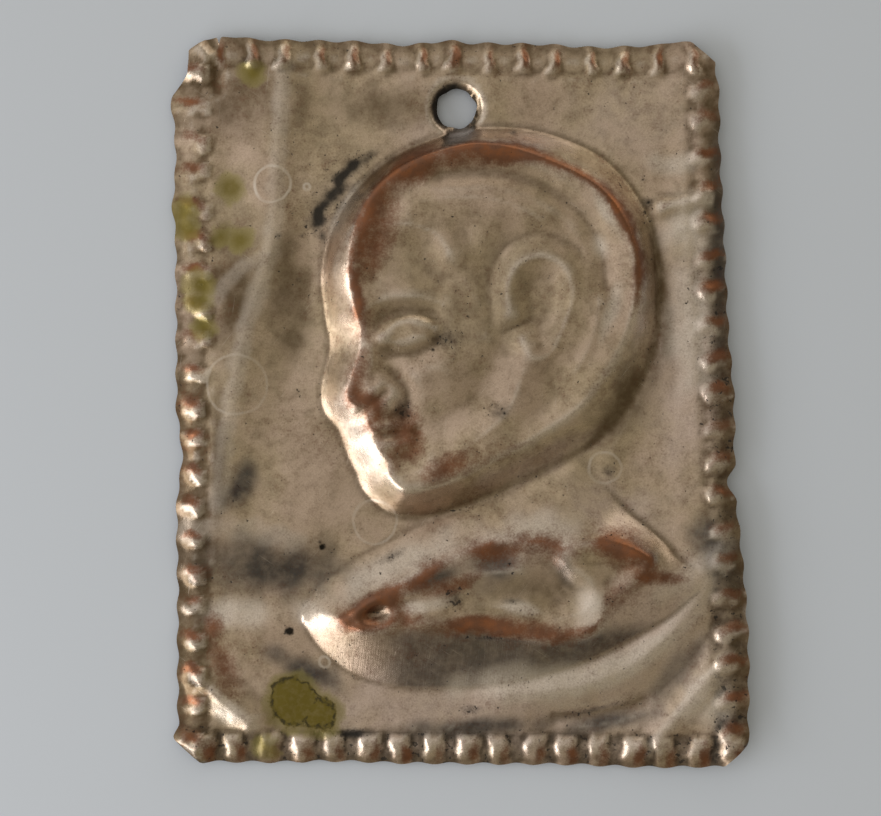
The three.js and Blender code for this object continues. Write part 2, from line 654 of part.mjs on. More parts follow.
function sheet() {
  const rim = outline();
  const bore = ring(hole.radius, 0, hole.ragged);
  const points = scatter(rim, bore);
  const faces = triangulate(points).filter(([a, b, c]) => {
    const x = (points[a][0] + points[b][0] + points[c][0]) / 3;
    const y = (points[a][1] + points[b][1] + points[c][1]) / 3;
    return within(x, y, rim) && !within(x, y, bore);
  });
  const heights = points.map(([x, y]) => surface(x, y));
  const xs = points.map((point) => point[0]);
  const ys = points.map((point) => point[1]);
  const centre = [(Math.min(...xs) + Math.max(...xs)) / 2, (Math.min(...ys) + Math.max(...ys)) / 2];
  const ground = Math.min(...heights) - sheetThickness;
  const position = [];
  for (const drop of [0, sheetThickness]) {
    points.forEach(([x, y], i) => position.push(x - centre[0], y - centre[1], heights[i] - drop - ground));
  }
  const under = points.length;
  const index = [];
  const edges = new Set();
  for (const [a, b, c] of faces) {
    index.push(a, b, c, under + c, under + b, under + a);
    for (const edge of [`${a},${b}`, `${b},${c}`, `${c},${a}`]) edges.add(edge);
  }
  for (const edge of edges) {
    const [a, b] = edge.split(',').map(Number);
    if (!edges.has(`${b},${a}`)) index.push(a, under + a, under + b, a, under + b, b);
  }
  const geometry = new THREE.BufferGeometry();
  geometry.setAttribute('position', new THREE.Float32BufferAttribute(position, 3));
  geometry.setIndex(index);
  geometry.computeVertexNormals();
  return geometry;
}

const plaqueMaterial = new THREE.MeshStandardMaterial({ color: 0x968776, roughness: 0.42, metalness: 0.9 });
const plaque = new THREE.Mesh(sheet(), plaqueMaterial);
plaque.name = 'plaque';

const part = new THREE.Group();
part.name = 'votive_plaque';
part.add(plaque);

export default part;
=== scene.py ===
import bpy
import numpy as np
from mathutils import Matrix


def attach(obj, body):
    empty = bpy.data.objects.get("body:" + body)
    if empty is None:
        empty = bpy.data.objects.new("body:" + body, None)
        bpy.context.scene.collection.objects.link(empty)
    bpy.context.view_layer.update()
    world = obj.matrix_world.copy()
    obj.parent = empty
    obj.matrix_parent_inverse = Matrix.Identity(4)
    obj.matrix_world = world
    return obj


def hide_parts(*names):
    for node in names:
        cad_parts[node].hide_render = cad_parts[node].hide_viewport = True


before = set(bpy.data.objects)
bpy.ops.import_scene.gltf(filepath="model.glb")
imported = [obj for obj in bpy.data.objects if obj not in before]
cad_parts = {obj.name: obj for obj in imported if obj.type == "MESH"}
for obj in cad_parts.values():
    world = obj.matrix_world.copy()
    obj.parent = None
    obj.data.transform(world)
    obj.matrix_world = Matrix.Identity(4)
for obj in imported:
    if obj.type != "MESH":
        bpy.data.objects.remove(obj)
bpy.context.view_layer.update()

mm = 0.001
print("frame loaded")

# The sheet, in millimetres: X across, Y up, Z out of the face

sheet = {
    "width": 50.4,
    "height": 64.0,
    "thickness": 0.3,
    "relief": 2.3,           # rise of the head above the field
    "cellsAcross": 192,
    "cellsUp": 244,
    "cornerReach": 8.0,      # how far in the wavy edge still bends the grid
    "edgeDrop": 0.16,        # in shares of the relief
    "curlFrom": 0.26,        # in shares of the width
    "curlRise": 0.48,
    "blend": 0.15,           # rounding where head and bust meet, in shares of the relief
    # unevenness of the hammered field: rise, length of a wave, waves, seed
    "dents": [(0.085, 11.0, 9, 3), (0.026, 4.0, 12, 5)],
    "creases": (0.05, 14.0, 7, 15),
    "crumples": [(0.016, 1.7, 14, 7), (0.012, 0.95, 16, 9)],
}

corners = [(-0.498, 0.500), (0.442, 0.489), (0.500, -0.498), (-0.492, -0.492)]
steps = [(-0.474, 0.450), (-0.473, 0.484)]

# Along a side everything is a share of its length. Margins, bulges and nicks are shares of the rib band,
# and the ribs' half foot and half crest are shares of the pitch; taper narrows their inner ends, or widens
# them below zero.
sides = [
    {"name": "top", "first": 0.080, "last": 0.957, "start": 0.055, "trim": 0.042, "margin": 0.08, "wide": 0.0,
     "foot": 0.21, "crest": 0.03, "taper": -0.80, "tall": 0.90, "slant": 0.02, "wornAt": 0.42,
     "bulges": [(0.110, 0.046, 0.09), (0.417, 0.074, -0.08), (0.506, 0.034, 0.06), (0.780, 0.105, -0.06),
                (0.934, 0.046, 0.12)]},
    {"name": "right", "first": 0.060, "last": 0.953, "start": 0.024, "trim": 0.032, "margin": 0.06, "wide": 0.0,
     "foot": 0.38, "crest": 0.05, "taper": 0.30, "tall": 0.75, "slant": 0.00, "wornAt": 0.40,
     "bulges": [(0.079, 0.047, 0.05), (0.490, 0.095, 0.06), (0.607, 0.027, -0.20), (0.806, 0.190, 0.14)]},
    {"name": "bottom", "first": 0.028, "last": 0.956, "start": 0.042, "trim": 0.040, "margin": 0.05, "wide": 0.0,
     "foot": 0.37, "crest": 0.19, "taper": 0.04, "tall": 0.70, "slant": 0.03, "wornAt": 0.30,
     "bulges": [(0.180, 0.140, 0.05), (0.720, 0.120, -0.04)]},
    {"name": "left", "first": 0.030, "last": 0.951, "start": 0.033, "trim": 0.080, "margin": 0.06, "wide": 0.30,
     "foot": 0.34, "crest": 0.14, "taper": 0.20, "tall": 0.62, "slant": -0.14, "wornAt": 0.45,
     "bulges": [(0.033, 0.020, 0.10), (0.424, 0.066, -0.14), (0.769, 0.047, 0.08), (0.920, 0.063, 0.10)]},
]

ribPitch = 2.98
ribs = {
    "rise": 0.17 * sheet["relief"],
    "valley": 0.05 * sheet["relief"],
    "end": 0.30 * ribPitch,
    "length": 0.97 * ribPitch,
    "band": 1.1 * ribPitch,
    "scallop": 0.035 * ribPitch,
    "wiggle": 0.03 * ribPitch,
    "wiggleWave": 0.55 * ribPitch,
    "wornReach": 0.30,       # length of the worn copper on a flank, in shares of the rib
}

tear = {"at": 0.082, "halfWidth": 0.16, "depth": 0.7}
hole = {
    "x": -0.007 * sheet["width"],
    "y": 0.404 * sheet["height"],
    "radius": 1.75,
    "ragged": 0.05,
    "funnel": 0.75,
    "drop": 0.26 * sheet["relief"],
}

# Head: shares of its own height, u towards the face and v up

head = {
    "height": 0.45 * sheet["height"],
    "x": 0.052 * sheet["width"],
    "y": 0.127 * sheet["height"],
    "tilt": 11,
    "rise": sheet["relief"],
    "dish": 0.15 * sheet["relief"],
    "dishWidth": 2.2,
    "crest": [
        (0.020, 0.497), (0.200, 0.462), (0.325, 0.365), (0.386, 0.225), (0.402, 0.090),
        (0.390, 0.018), (0.416, -0.062), (0.468, -0.158), (0.458, -0.198), (0.410, -0.222),
        (0.426, -0.274), (0.406, -0.310), (0.415, -0.346), (0.385, -0.390), (0.392, -0.440),
        (0.345, -0.488), (0.230, -0.485), (0.100, -0.452), (-0.060, -0.405), (-0.200, -0.345),
        (-0.320, -0.240), (-0.410, -0.110), (-0.452, 0.020), (-0.452, 0.150), (-0.395, 0.285),
        (-0.260, 0.400), (-0.120, 0.475),
    ],
    "foot": [
        (0.002, 0.556), (0.215, 0.510), (0.385, 0.395), (0.478, 0.235), (0.500, 0.080), (0.505, -0.020),
        (0.552, -0.130), (0.560, -0.205), (0.527, -0.275), (0.517, -0.345), (0.500, -0.410), (0.485, -0.475),
        (0.415, -0.552), (0.300, -0.582), (0.149, -0.563), (0.000, -0.528), (-0.180, -0.475), (-0.300, -0.415),
        (-0.420, -0.290), (-0.500, -0.120), (-0.530, 0.040), (-0.526, 0.195), (-0.470, 0.330), (-0.393, 0.422),
        (-0.270, 0.500), (-0.137, 0.543),
    ],
    # line, width in shares of the head's height, rise in shares of the relief
    "strokes": {
        "brow": ([(0.375, 0.070), (0.300, 0.092), (0.210, 0.080), (0.140, 0.045)], 0.042, 0.18),
        "eye socket": ([(0.350, 0.022), (0.270, 0.036), (0.180, 0.018)], 0.038, -0.17),
        "eyeball": ([(0.300, -0.014), (0.245, -0.018)], 0.040, 0.17),
        "upper lid": ([(0.335, -0.020), (0.290, 0.010), (0.235, 0.010), (0.178, -0.024)], 0.017, 0.13),
        "lower lid": ([(0.330, -0.032), (0.275, -0.052), (0.215, -0.044)], 0.017, 0.08),
        "under the eye": ([(0.320, -0.078), (0.250, -0.092), (0.180, -0.070)], 0.035, -0.12),
        "nose side": ([(0.362, -0.010), (0.385, -0.090), (0.410, -0.150)], 0.035, 0.14),
        "nose wing": ([(0.392, -0.172), (0.355, -0.160), (0.335, -0.190), (0.360, -0.214)], 0.024, 0.16),
        "wing groove": ([(0.318, -0.150), (0.298, -0.205), (0.315, -0.262)], 0.028, -0.15),
        "upper lip": ([(0.400, -0.286), (0.355, -0.290), (0.310, -0.304)], 0.021, 0.11),
        "lip seam": ([(0.398, -0.312), (0.350, -0.313), (0.295, -0.318)], 0.016, -0.15),
        "lower lip": ([(0.390, -0.338), (0.350, -0.342), (0.318, -0.336)], 0.021, 0.11),
        "chin fold": ([(0.362, -0.386), (0.310, -0.390)], 0.031, -0.12),
        "chin": ([(0.335, -0.436), (0.300, -0.436)], 0.056, 0.16),
        "cheek": ([(0.215, -0.135), (0.165, -0.160)], 0.104, 0.22),
        "cheek hollow": ([(0.200, -0.290), (0.110, -0.250)], 0.076, -0.14),
        "jaw": ([(0.250, -0.430), (0.130, -0.385), (0.010, -0.310), (-0.060, -0.205)], 0.056, 0.22),
        "temple": ([(0.090, 0.190), (0.060, 0.090), (0.025, 0.010), (0.030, -0.070)], 0.042, 0.08),
        "temple hollow": ([(0.180, 0.180), (0.140, 0.110)], 0.062, -0.12),
        "hair front": ([(0.300, 0.320), (0.200, 0.300), (0.120, 0.255), (0.090, 0.190)], 0.038, 0.16),
        "ear rim": ([(-0.055, -0.020), (-0.062, 0.055), (-0.105, 0.115), (-0.180, 0.130), (-0.240, 0.085),
                     (-0.250, 0.000), (-0.205, -0.090), (-0.150, -0.165), (-0.095, -0.165), (-0.075, -0.110)],
                    0.036, 0.19),
        "ear shell": ([(-0.150, 0.040), (-0.160, -0.030)], 0.062, -0.10),
        "groove round the ear": ([(0.000, -0.020), (-0.012, 0.085), (-0.080, 0.180), (-0.190, 0.200),
                                  (-0.300, 0.130)], 0.040, -0.12),
        "ear lobe": ([(-0.112, -0.130), (-0.125, -0.120)], 0.038, 0.13),
        "nape": ([(-0.330, -0.020), (-0.290, -0.130), (-0.220, -0.230)], 0.049, 0.16),
        "upper hair": ([(0.170, 0.360), (0.030, 0.350), (-0.100, 0.310), (-0.200, 0.240)], 0.040, 0.11),
        "hollow under the crest": ([(0.070, 0.425), (-0.090, 0.400), (-0.215, 0.340), (-0.315, 0.240),
                                    (-0.360, 0.120), (-0.352, 0.000)], 0.026, -0.15),
    },
}

# Bust: shares of its own length

bust = {
    "length": 0.697 * sheet["width"],
    "x": 0.072 * sheet["width"],
    "y": -0.236 * sheet["height"],
    "rise": 0.91 * sheet["relief"],
    "dish": 0.22 * sheet["relief"],
    "dishWidth": 2.0,
    "crest": [
        (-0.385, -0.108), (-0.291, -0.037), (-0.154, 0.034), (-0.006, 0.088), (0.148, 0.080), (0.268, 0.085),
        (0.362, 0.043), (0.330, -0.014), (0.265, -0.066), (0.222, -0.125), (0.114, -0.154), (-0.054, -0.128),
        (-0.205, -0.117), (-0.328, -0.128),
    ],
    "foot": [
        (-0.499, -0.100), (-0.464, -0.031), (-0.390, 0.026), (-0.291, 0.085), (-0.179, 0.140), (-0.080, 0.174),
        (0.034, 0.217), (0.123, 0.262), (0.185, 0.285), (0.239, 0.242), (0.308, 0.171), (0.385, 0.105),
        (0.450, 0.043), (0.501, -0.009), (0.473, -0.051), (0.407, -0.108), (0.296, -0.174), (0.171, -0.231),
        (0.020, -0.271), (-0.128, -0.285), (-0.254, -0.282), (-0.368, -0.251), (-0.442, -0.197), (-0.484, -0.145),
    ],
    "strokes": {
        "tip crease": ([(-0.490, -0.104), (-0.400, -0.108)], 0.014, 0.10),
        "button rim": ([(-0.359, -0.088), (-0.313, -0.060), (-0.274, -0.083), (-0.291, -0.120), (-0.342, -0.123),
                        (-0.359, -0.088)], 0.020, 0.16),
        "button": ([(-0.319, -0.091), (-0.308, -0.091)], 0.024, -0.16),
        "upper fold": ([(-0.234, -0.043), (-0.103, -0.003), (0.040, 0.020)], 0.034, 0.20),
        "lower fold": ([(-0.188, -0.083), (-0.046, -0.071), (0.083, -0.088)], 0.031, 0.18),
        "lappet": ([(0.160, 0.034), (0.222, -0.020), (0.204, -0.080), (0.135, -0.105)], 0.024, 0.15),
        "lappet hollow": ([(0.142, -0.031), (0.154, -0.043)], 0.043, -0.16),
        "shoulder": ([(0.197, 0.043), (0.313, 0.043)], 0.040, 0.16),
        "tail fold": ([(0.225, -0.157), (0.342, -0.094), (0.439, -0.014)], 0.031, 0.17),
        "tail valley": ([(0.302, -0.043), (0.422, 0.003)], 0.037, -0.13),
    },
}

# Folds and dents of the field: shares of the sheet's width and height

field = {
    "long fold": ([(-0.306, 0.461), (-0.317, 0.344), (-0.329, 0.211), (-0.373, 0.102), (-0.409, -0.055),
                   (-0.421, -0.141)], 0.036, 0.22),
    "side fold": ([(-0.333, 0.203), (-0.385, 0.180), (-0.428, 0.140)], 0.022, 0.10),
    "fold by the head": ([(-0.289, 0.328), (-0.262, 0.180), (-0.290, 0.040)], 0.030, -0.10),
    "left shelf": ([(-0.476, -0.176), (-0.377, -0.172), (-0.288, -0.190)], 0.030, 0.12),
    "left trough": ([(-0.480, -0.262), (-0.377, -0.262), (-0.300, -0.252)], 0.030, -0.18),
    "right crease": ([(0.352, 0.268), (0.395, 0.274), (0.430, 0.276)], 0.009, 0.17),
    "right step": ([(0.385, 0.240), (0.445, 0.225)], 0.030, 0.09),
    "pull": ([(0.080, -0.398), (0.235, -0.380), (0.350, -0.326), (0.428, -0.248)], 0.026, 0.20),
    "pull valley": ([(0.170, -0.446), (0.290, -0.424), (0.372, -0.376), (0.448, -0.298)], 0.027, -0.17),
    "tail pull": ([(0.347, -0.262), (0.420, -0.222), (0.462, -0.190)], 0.022, 0.12),
    "pull crease": ([(0.165, -0.430), (0.250, -0.425), (0.315, -0.411)], 0.008, -0.11),
    "corner fold": ([(0.325, -0.475), (0.375, -0.425), (0.422, -0.381), (0.455, -0.348)], 0.014, 0.17),
    "corner swell": ([(-0.440, -0.386), (-0.365, -0.434)], 0.018, 0.32),
    "swell at the hole": ([(-0.060, 0.431), (0.048, 0.434)], 0.047, 0.11),
    "nape fold": ([(0.262, -0.066), (0.300, -0.010), (0.331, 0.039)], 0.018, 0.08),
    "torn crease": ([(-0.423, 0.484), (-0.425, 0.431)], 0.008, -0.13),
    "lump at the step": ([(-0.476, 0.456), (-0.450, 0.455)], 0.010, 0.22),
    "lump at the tear": ([(-0.454, 0.487), (-0.440, 0.472)], 0.009, 0.20),
    "turned corner": ([(-0.484, -0.466), (-0.454, -0.486)], 0.011, 0.20),
}


def smooth(t):
    # 3t^2 - 2t^3 between 0 and 1
    t = np.clip(t, 0.0, 1.0)
    return t * t * (3 - 2 * t)


def curve(points, closed, steps=8):
    # a Catmull-Rom curve through the points
    p = np.asarray(points, float)
    count = len(p)
    spans = np.arange(count if closed else count - 1)
    pick = (lambda i: p[i % count]) if closed else (lambda i: p[np.clip(i, 0, count - 1)])
    a, b, c, d = (pick(spans + k)[:, None, :] for k in (-1, 0, 1, 2))
    t = (np.arange(steps) / steps)[None, :, None]
    line = 0.5 * (2 * b + (c - a) * t + (2 * a - 5 * b + 4 * c - d) * t**2 + (3 * b - a - 3 * c + d) * t**3)
    line = line.reshape(-1, 2)
    return line if closed else np.vstack([line, p[-1:]])


def distance(x, y, line, closed):
    # the shortest way to any stretch of the line
    ends = np.roll(line, -1, 0) if closed else line[1:]
    best = np.full(x.shape, 1e9)
    for (ax, ay), (bx, by) in zip(line, ends):
        dx, dy = bx - ax, by - ay
        t = np.clip(((x - ax) * dx + (y - ay) * dy) / max(dx * dx + dy * dy, 1e-12), 0, 1)
        best = np.minimum(best, (x - ax - t * dx) ** 2 + (y - ay - t * dy) ** 2)
    return np.sqrt(best)


def within(x, y, loop):
    # odd number of crossings of the loop to the right of the point
    odd = np.zeros(x.shape, bool)
    for (ax, ay), (bx, by) in zip(loop, np.roll(loop, -1, 0)):
        if ay != by:
            odd ^= ((ay > y) != (by > y)) & (x < (bx - ax) * (y - ay) / (by - ay) + ax)
    return odd


def onHead(points):
    # shares of the head's height, turned by its tilt and moved to its place
    uv = np.asarray(points, float)
    turn = np.radians(head["tilt"])
    across, up = -uv[:, 0] * head["height"], uv[:, 1] * head["height"]
    return np.stack([head["x"] + np.cos(turn) * across - np.sin(turn) * up,
                     head["y"] + np.sin(turn) * across + np.cos(turn) * up], 1)


def onBust(points):
    return np.array([bust["x"], bust["y"]]) + np.asarray(points, float) * bust["length"]


def onSheet(points):
    return np.asarray(points, float) * np.array([sheet["width"], sheet["height"]])


def strokes(x, y, marks, place, size):
    # with a share of 1 on the line and 0 at twice the width from it, a stroke adds its rise times
    # 0.45 of a round bell, (1 - (1 - share)^2)^2, and 0.55 of a sharp ridge, share^1.6
    z = np.zeros(x.shape)
    for line, width, rise in marks.values():
        share = np.clip(1 - distance(x, y, curve(place(line), False, 6), False) / (2 * width * size), 0, 1)
        z += rise * sheet["relief"] * (0.45 * (1 - (1 - share) ** 2) ** 2 + 0.55 * share**1.6)
    return z


def raised(x, y, foot, crest, form):
    # climbs from the foot line (share 0) to the crest line (share 1), then dishes inside it
    toCrest, toFoot = distance(x, y, crest, True), distance(x, y, foot, True)
    inFoot, inCrest = within(x, y, foot), within(x, y, crest)
    climb = np.where(inFoot, toFoot / (toFoot + toCrest + 1e-9), 0.0)
    climb = np.where(inCrest, 1.0, climb)
    z = form["rise"] * (0.3 * smooth(climb) + 0.7 * climb)
    z -= np.where(inCrest, form["dish"] * smooth(toCrest / form["dishWidth"]), 0.0)
    return z, np.where(inCrest, toCrest, -toCrest), np.where(inFoot, toFoot, -toFoot)


def uneven(side, rib, kind):
    # a sine of the rib's number, shifted for each side and for each use
    return np.sin(rib * 2.4 + side * 1.7 + kind * 4.1)


def layOutSides():
    # ribs at even steps from the first to the last of a side, each a little shifted, raised and leaned
    at = onSheet(corners)
    for number, side in enumerate(sides):
        a, b = at[number], at[(number + 1) % 4]
        side["length"] = np.hypot(*(b - a))
        side["from"] = a
        side["along"] = (b - a) / side["length"]
        side["inward"] = np.array([side["along"][1], -side["along"][0]])
        run = (side["last"] - side["first"]) * side["length"]
        gaps = int(np.floor(run / ribPitch + 0.5))
        k = np.arange(gaps + 1)
        side["pitch"] = run / gaps
        side["at"] = side["first"] * side["length"] + k * side["pitch"] + 0.055 * ribPitch * uneven(number, k, 0)
        side["rise"] = side["tall"] * ribs["rise"] * (1 + 0.30 * uneven(number, k, 1))
        side["lean"] = side["slant"] + 0.14 * uneven(number, k, 3)
        side["plump"] = 1 + 0.12 * uneven(number, k, 4)
        side["margins"] = ribs["band"] * (side["margin"] + 0.035 * uneven(number, k, 2)
                                          + side["wide"] * smooth((k - gaps / 2) / 2))


def cutEdge(side, s):
    # scallops round the ribs, plus the bulges and nicks of the hand cut
    out = ribs["scallop"] * np.cos(2 * np.pi * (s - side["first"] * side["length"]) / side["pitch"])
    for at, reach, bulge in side["bulges"]:
        share = np.clip(1 - ((s / side["length"] - at) / reach) ** 2, 0, 1)
        out = out + bulge * ribs["band"] * share**2
    return out


def edgePoints(side, s):
    # points s along the side, pushed out by the cut's scallops and bulges
    return side["from"] + side["along"] * s[:, None] - side["inward"] * cutEdge(side, s)[:, None]


def border(x, y):
    # each rib rises 0.4 smooth + 0.6 straight from its foot to its crest and fades at both ends; gives back
    # that height, the ribs themselves, copper on their far flank, hollows between them, distance from the edge
    z, rib, copper, hollow = (np.zeros(x.shape) for _ in range(4))
    edge = np.full(x.shape, 1e9)
    for side in sides:
        dx, dy = x - side["from"][0], y - side["from"][1]
        s = dx * side["along"][0] + dy * side["along"][1]
        straight = dx * side["inward"][0] + dy * side["inward"][1]
        out = cutEdge(side, s)
        q = np.where(straight < ribs["band"], (straight + out) * ribs["band"] / (ribs["band"] + out), straight)
        edge = np.minimum(edge, q)
        inBand = q < ribs["band"]
        ends = smooth(s / ribPitch - 0.3) * smooth((side["length"] - s) / ribPitch - 0.3)
        near = smooth((ribs["band"] - q) / ribs["end"]) * ends
        z -= ribs["valley"] * near
        crests = np.zeros(x.shape)
        farSide = -1 if side["name"] in ("bottom", "right") else 1
        each = zip(side["at"], side["rise"], side["margins"], side["lean"], side["plump"])
        for at, rise, margin, lean, plump in each:
            inner = margin / 2 + ribs["length"]
            half = side["foot"] * ribPitch * plump * (1 - side["taper"] * smooth(2 * q / inner - 1))
            flank = half - side["crest"] * ribPitch
            bend = ribs["wiggle"] * np.sin(2 * np.pi * q / ribs["wiggleWave"] + 9 * at)
            off = s - at - lean * (q - ribs["band"] / 2) + bend
            climb = np.clip((half - np.abs(off)) / flank, 0, 1)
            across = 0.4 * smooth(climb) + 0.6 * climb
            ridge = smooth((0.70 * half - np.abs(off - 0.45 * half * farSide)) / (0.6 * half))
            outerEnd = smooth((q - margin) / (3.0 * ribs["end"]) + 0.20)
            innerEnd = smooth((inner - q) / ribs["end"])
            z += np.where(inBand, (rise + ribs["valley"]) * across * outerEnd * innerEnd, 0)
            crests = np.maximum(crests, np.where(inBand, across * innerEnd, 0))
            worn = ridge * np.exp(-((q / inner - side["wornAt"]) / ribs["wornReach"]) ** 2)
            copper = np.maximum(copper, np.where(inBand, worn * (0.95 + 0.25 * np.sin(9.1 * at)), 0))
        hollow = np.maximum(hollow, near * (1 - crests))
        rib = np.maximum(rib, crests)
    z -= sheet["edgeDrop"] * sheet["relief"] * smooth(1 - edge / (0.6 * ribPitch))
    return z, rib, copper, hollow, edge


def ripple(x, y, wave, terms, seed):
    # a sum of sine waves in all directions, about one wave long each, between -1 and 1
    dice = np.random.default_rng(seed)
    total = np.zeros(x.shape)
    for _ in range(terms):
        way, phase = dice.uniform(0, 2 * np.pi, 2)
        length = wave * dice.uniform(0.7, 1.5)
        total += np.sin(2 * np.pi * (x * np.cos(way) + y * np.sin(way)) / length + phase)
    return total / np.sqrt(terms * 2)


def layered(x, y, waves):
    # ripples of several lengths, each times its rise
    return sum(rise * ripple(x, y, wave, terms, seed) for rise, wave, terms, seed in waves)


def surface(x, y):
    # the larger of head and bust, plus (blend - their difference)^2 / (4 blend) where they meet; then folds,
    # ribs, unevenness, the funnel of the hole, and a curl that rises with the square of the way past its start
    headCrest, headFoot = curve(onHead(head["crest"]), True), curve(onHead(head["foot"]), True)
    bustCrest, bustFoot = curve(onBust(bust["crest"]), True), curve(onBust(bust["foot"]), True)
    faceZ, inHead, inHeadFoot = raised(x, y, headFoot, headCrest, head)
    faceZ = faceZ + strokes(x, y, head["strokes"], onHead, head["height"]) * smooth((1 + inHead) / 1.6)
    chestZ, inBust, inBustFoot = raised(x, y, bustFoot, bustCrest, bust)
    chestZ = chestZ + np.where(chestZ > 0, strokes(x, y, bust["strokes"], onBust, bust["length"]), 0)
    top, low = np.maximum(faceZ, chestZ), np.minimum(faceZ, chestZ)
    blend = sheet["blend"] * sheet["relief"]
    near = np.clip(blend - (top - low), 0, None)
    z = top + np.where(low > 0, near**2 / (4 * blend), 0)
    z += strokes(x, y, field, onSheet, sheet["height"]) * smooth(1.2 - top)
    ribZ, rib, copper, hollow, edge = border(x, y)
    inner = smooth((edge - ribs["band"]) / 2)
    z += ribZ + layered(x, y, sheet["dents"]) * inner
    rise, *waves = sheet["creases"]
    z += rise * (0.5 - np.abs(ripple(x, y, *waves))) * inner
    z += layered(x, y, sheet["crumples"]) * (1 - 0.8 * inner + 2.0 * rib)    # crumples gather on the ribs
    reach = np.hypot(x - hole["x"], y - hole["y"])
    z -= hole["drop"] * smooth(1 - (reach - hole["radius"]) / hole["funnel"])
    curl = np.clip((x - sheet["curlFrom"] * sheet["width"]) / ((0.5 - sheet["curlFrom"]) * sheet["width"]), 0, None)
    z += sheet["curlRise"] * sheet["relief"] * curl**2
    return z, {"inHead": inHead, "inBust": inBust, "inBustFoot": inBustFoot, "ribCopper": copper, "hollow": hollow,
               "inFoot": np.maximum(inHeadFoot, inBustFoot), "reach": reach}


def spaced(line, count):
    # points at even steps along the line
    walked = np.concatenate([[0], np.cumsum(np.hypot(*np.diff(line, axis=0).T))])
    wanted = np.linspace(0, walked[-1], count)
    return np.stack([np.interp(wanted, walked, line[:, 0]), np.interp(wanted, walked, line[:, 1])], 1)


def edgeGrid():
    # four edge lines between the middles of the clipped corners, and their even spacing
    lines = []
    for side in sides:
        s = np.linspace(side["start"] * side["length"], (1 - side["trim"]) * side["length"], 900)
        points = edgePoints(side, s)
        if side["name"] == "top":
            depth = np.clip(1 - np.abs(s - tear["at"] * side["length"]) / tear["halfWidth"], 0, 1) * tear["depth"]
            points = points + side["inward"] * depth[:, None]
        lines.append(points)
    step = onSheet(steps)
    meets = [step.mean(0), (lines[0][-1] + lines[1][0]) / 2, (lines[1][-1] + lines[2][0]) / 2,
             (lines[2][-1] + lines[3][0]) / 2]
    top = np.vstack([meets[0], step[1], lines[0], meets[1]])
    right = np.vstack([meets[1], lines[1], meets[2]])
    bottom = np.vstack([meets[2], lines[2], meets[3]])
    left = np.vstack([meets[3], lines[3], step[0], meets[0]])
    across, up = sheet["cellsAcross"] + 1, sheet["cellsUp"] + 1
    return meets, spaced(top, across), spaced(right, up)[::-1], spaced(bottom, across)[::-1], spaced(left, up)


def planGrid():
    # a plain grid between the four corners, bent near its edges to follow the cut
    (topLeft, topRight, bottomRight, bottomLeft), top, right, bottom, left = edgeGrid()
    u = np.linspace(0, 1, sheet["cellsAcross"] + 1)[None, :, None]
    v = np.linspace(0, 1, sheet["cellsUp"] + 1)[:, None, None]
    plain = (1 - v) * ((1 - u) * bottomLeft + u * bottomRight) + v * ((1 - u) * topLeft + u * topRight)
    reach = sheet["cornerReach"]
    fade = lambda share, size: np.clip(1 - share * size / reach, 0, 1) ** 2
    plan = plain + (top - ((1 - u[0]) * topLeft + u[0] * topRight)) * fade(1 - v, sheet["height"])
    plan = plan + (bottom - ((1 - u[0]) * bottomLeft + u[0] * bottomRight)) * fade(v, sheet["height"])
    leftOff = left - ((1 - v[:, 0]) * bottomLeft + v[:, 0] * topLeft)
    rightOff = right - ((1 - v[:, 0]) * bottomRight + v[:, 0] * topRight)
    plan = plan + leftOff[:, None, :] * fade(u, sheet["width"]) + rightOff[:, None, :] * fade(1 - u, sheet["width"])
    return plan


def patches(x, y, spots):
    # soft round spots: the largest of 1 - (distance / radius), below 0 outside
    level = np.full(x.shape, -1.0)
    for px, py, rx, ry, turn in spots:
        a = np.radians(turn)
        dx, dy = x - px, y - py
        along, over = (np.cos(a) * dx + np.sin(a) * dy) / rx, (-np.sin(a) * dx + np.cos(a) * dy) / ry
        level = np.maximum(level, 1 - np.hypot(along, over))
    return level


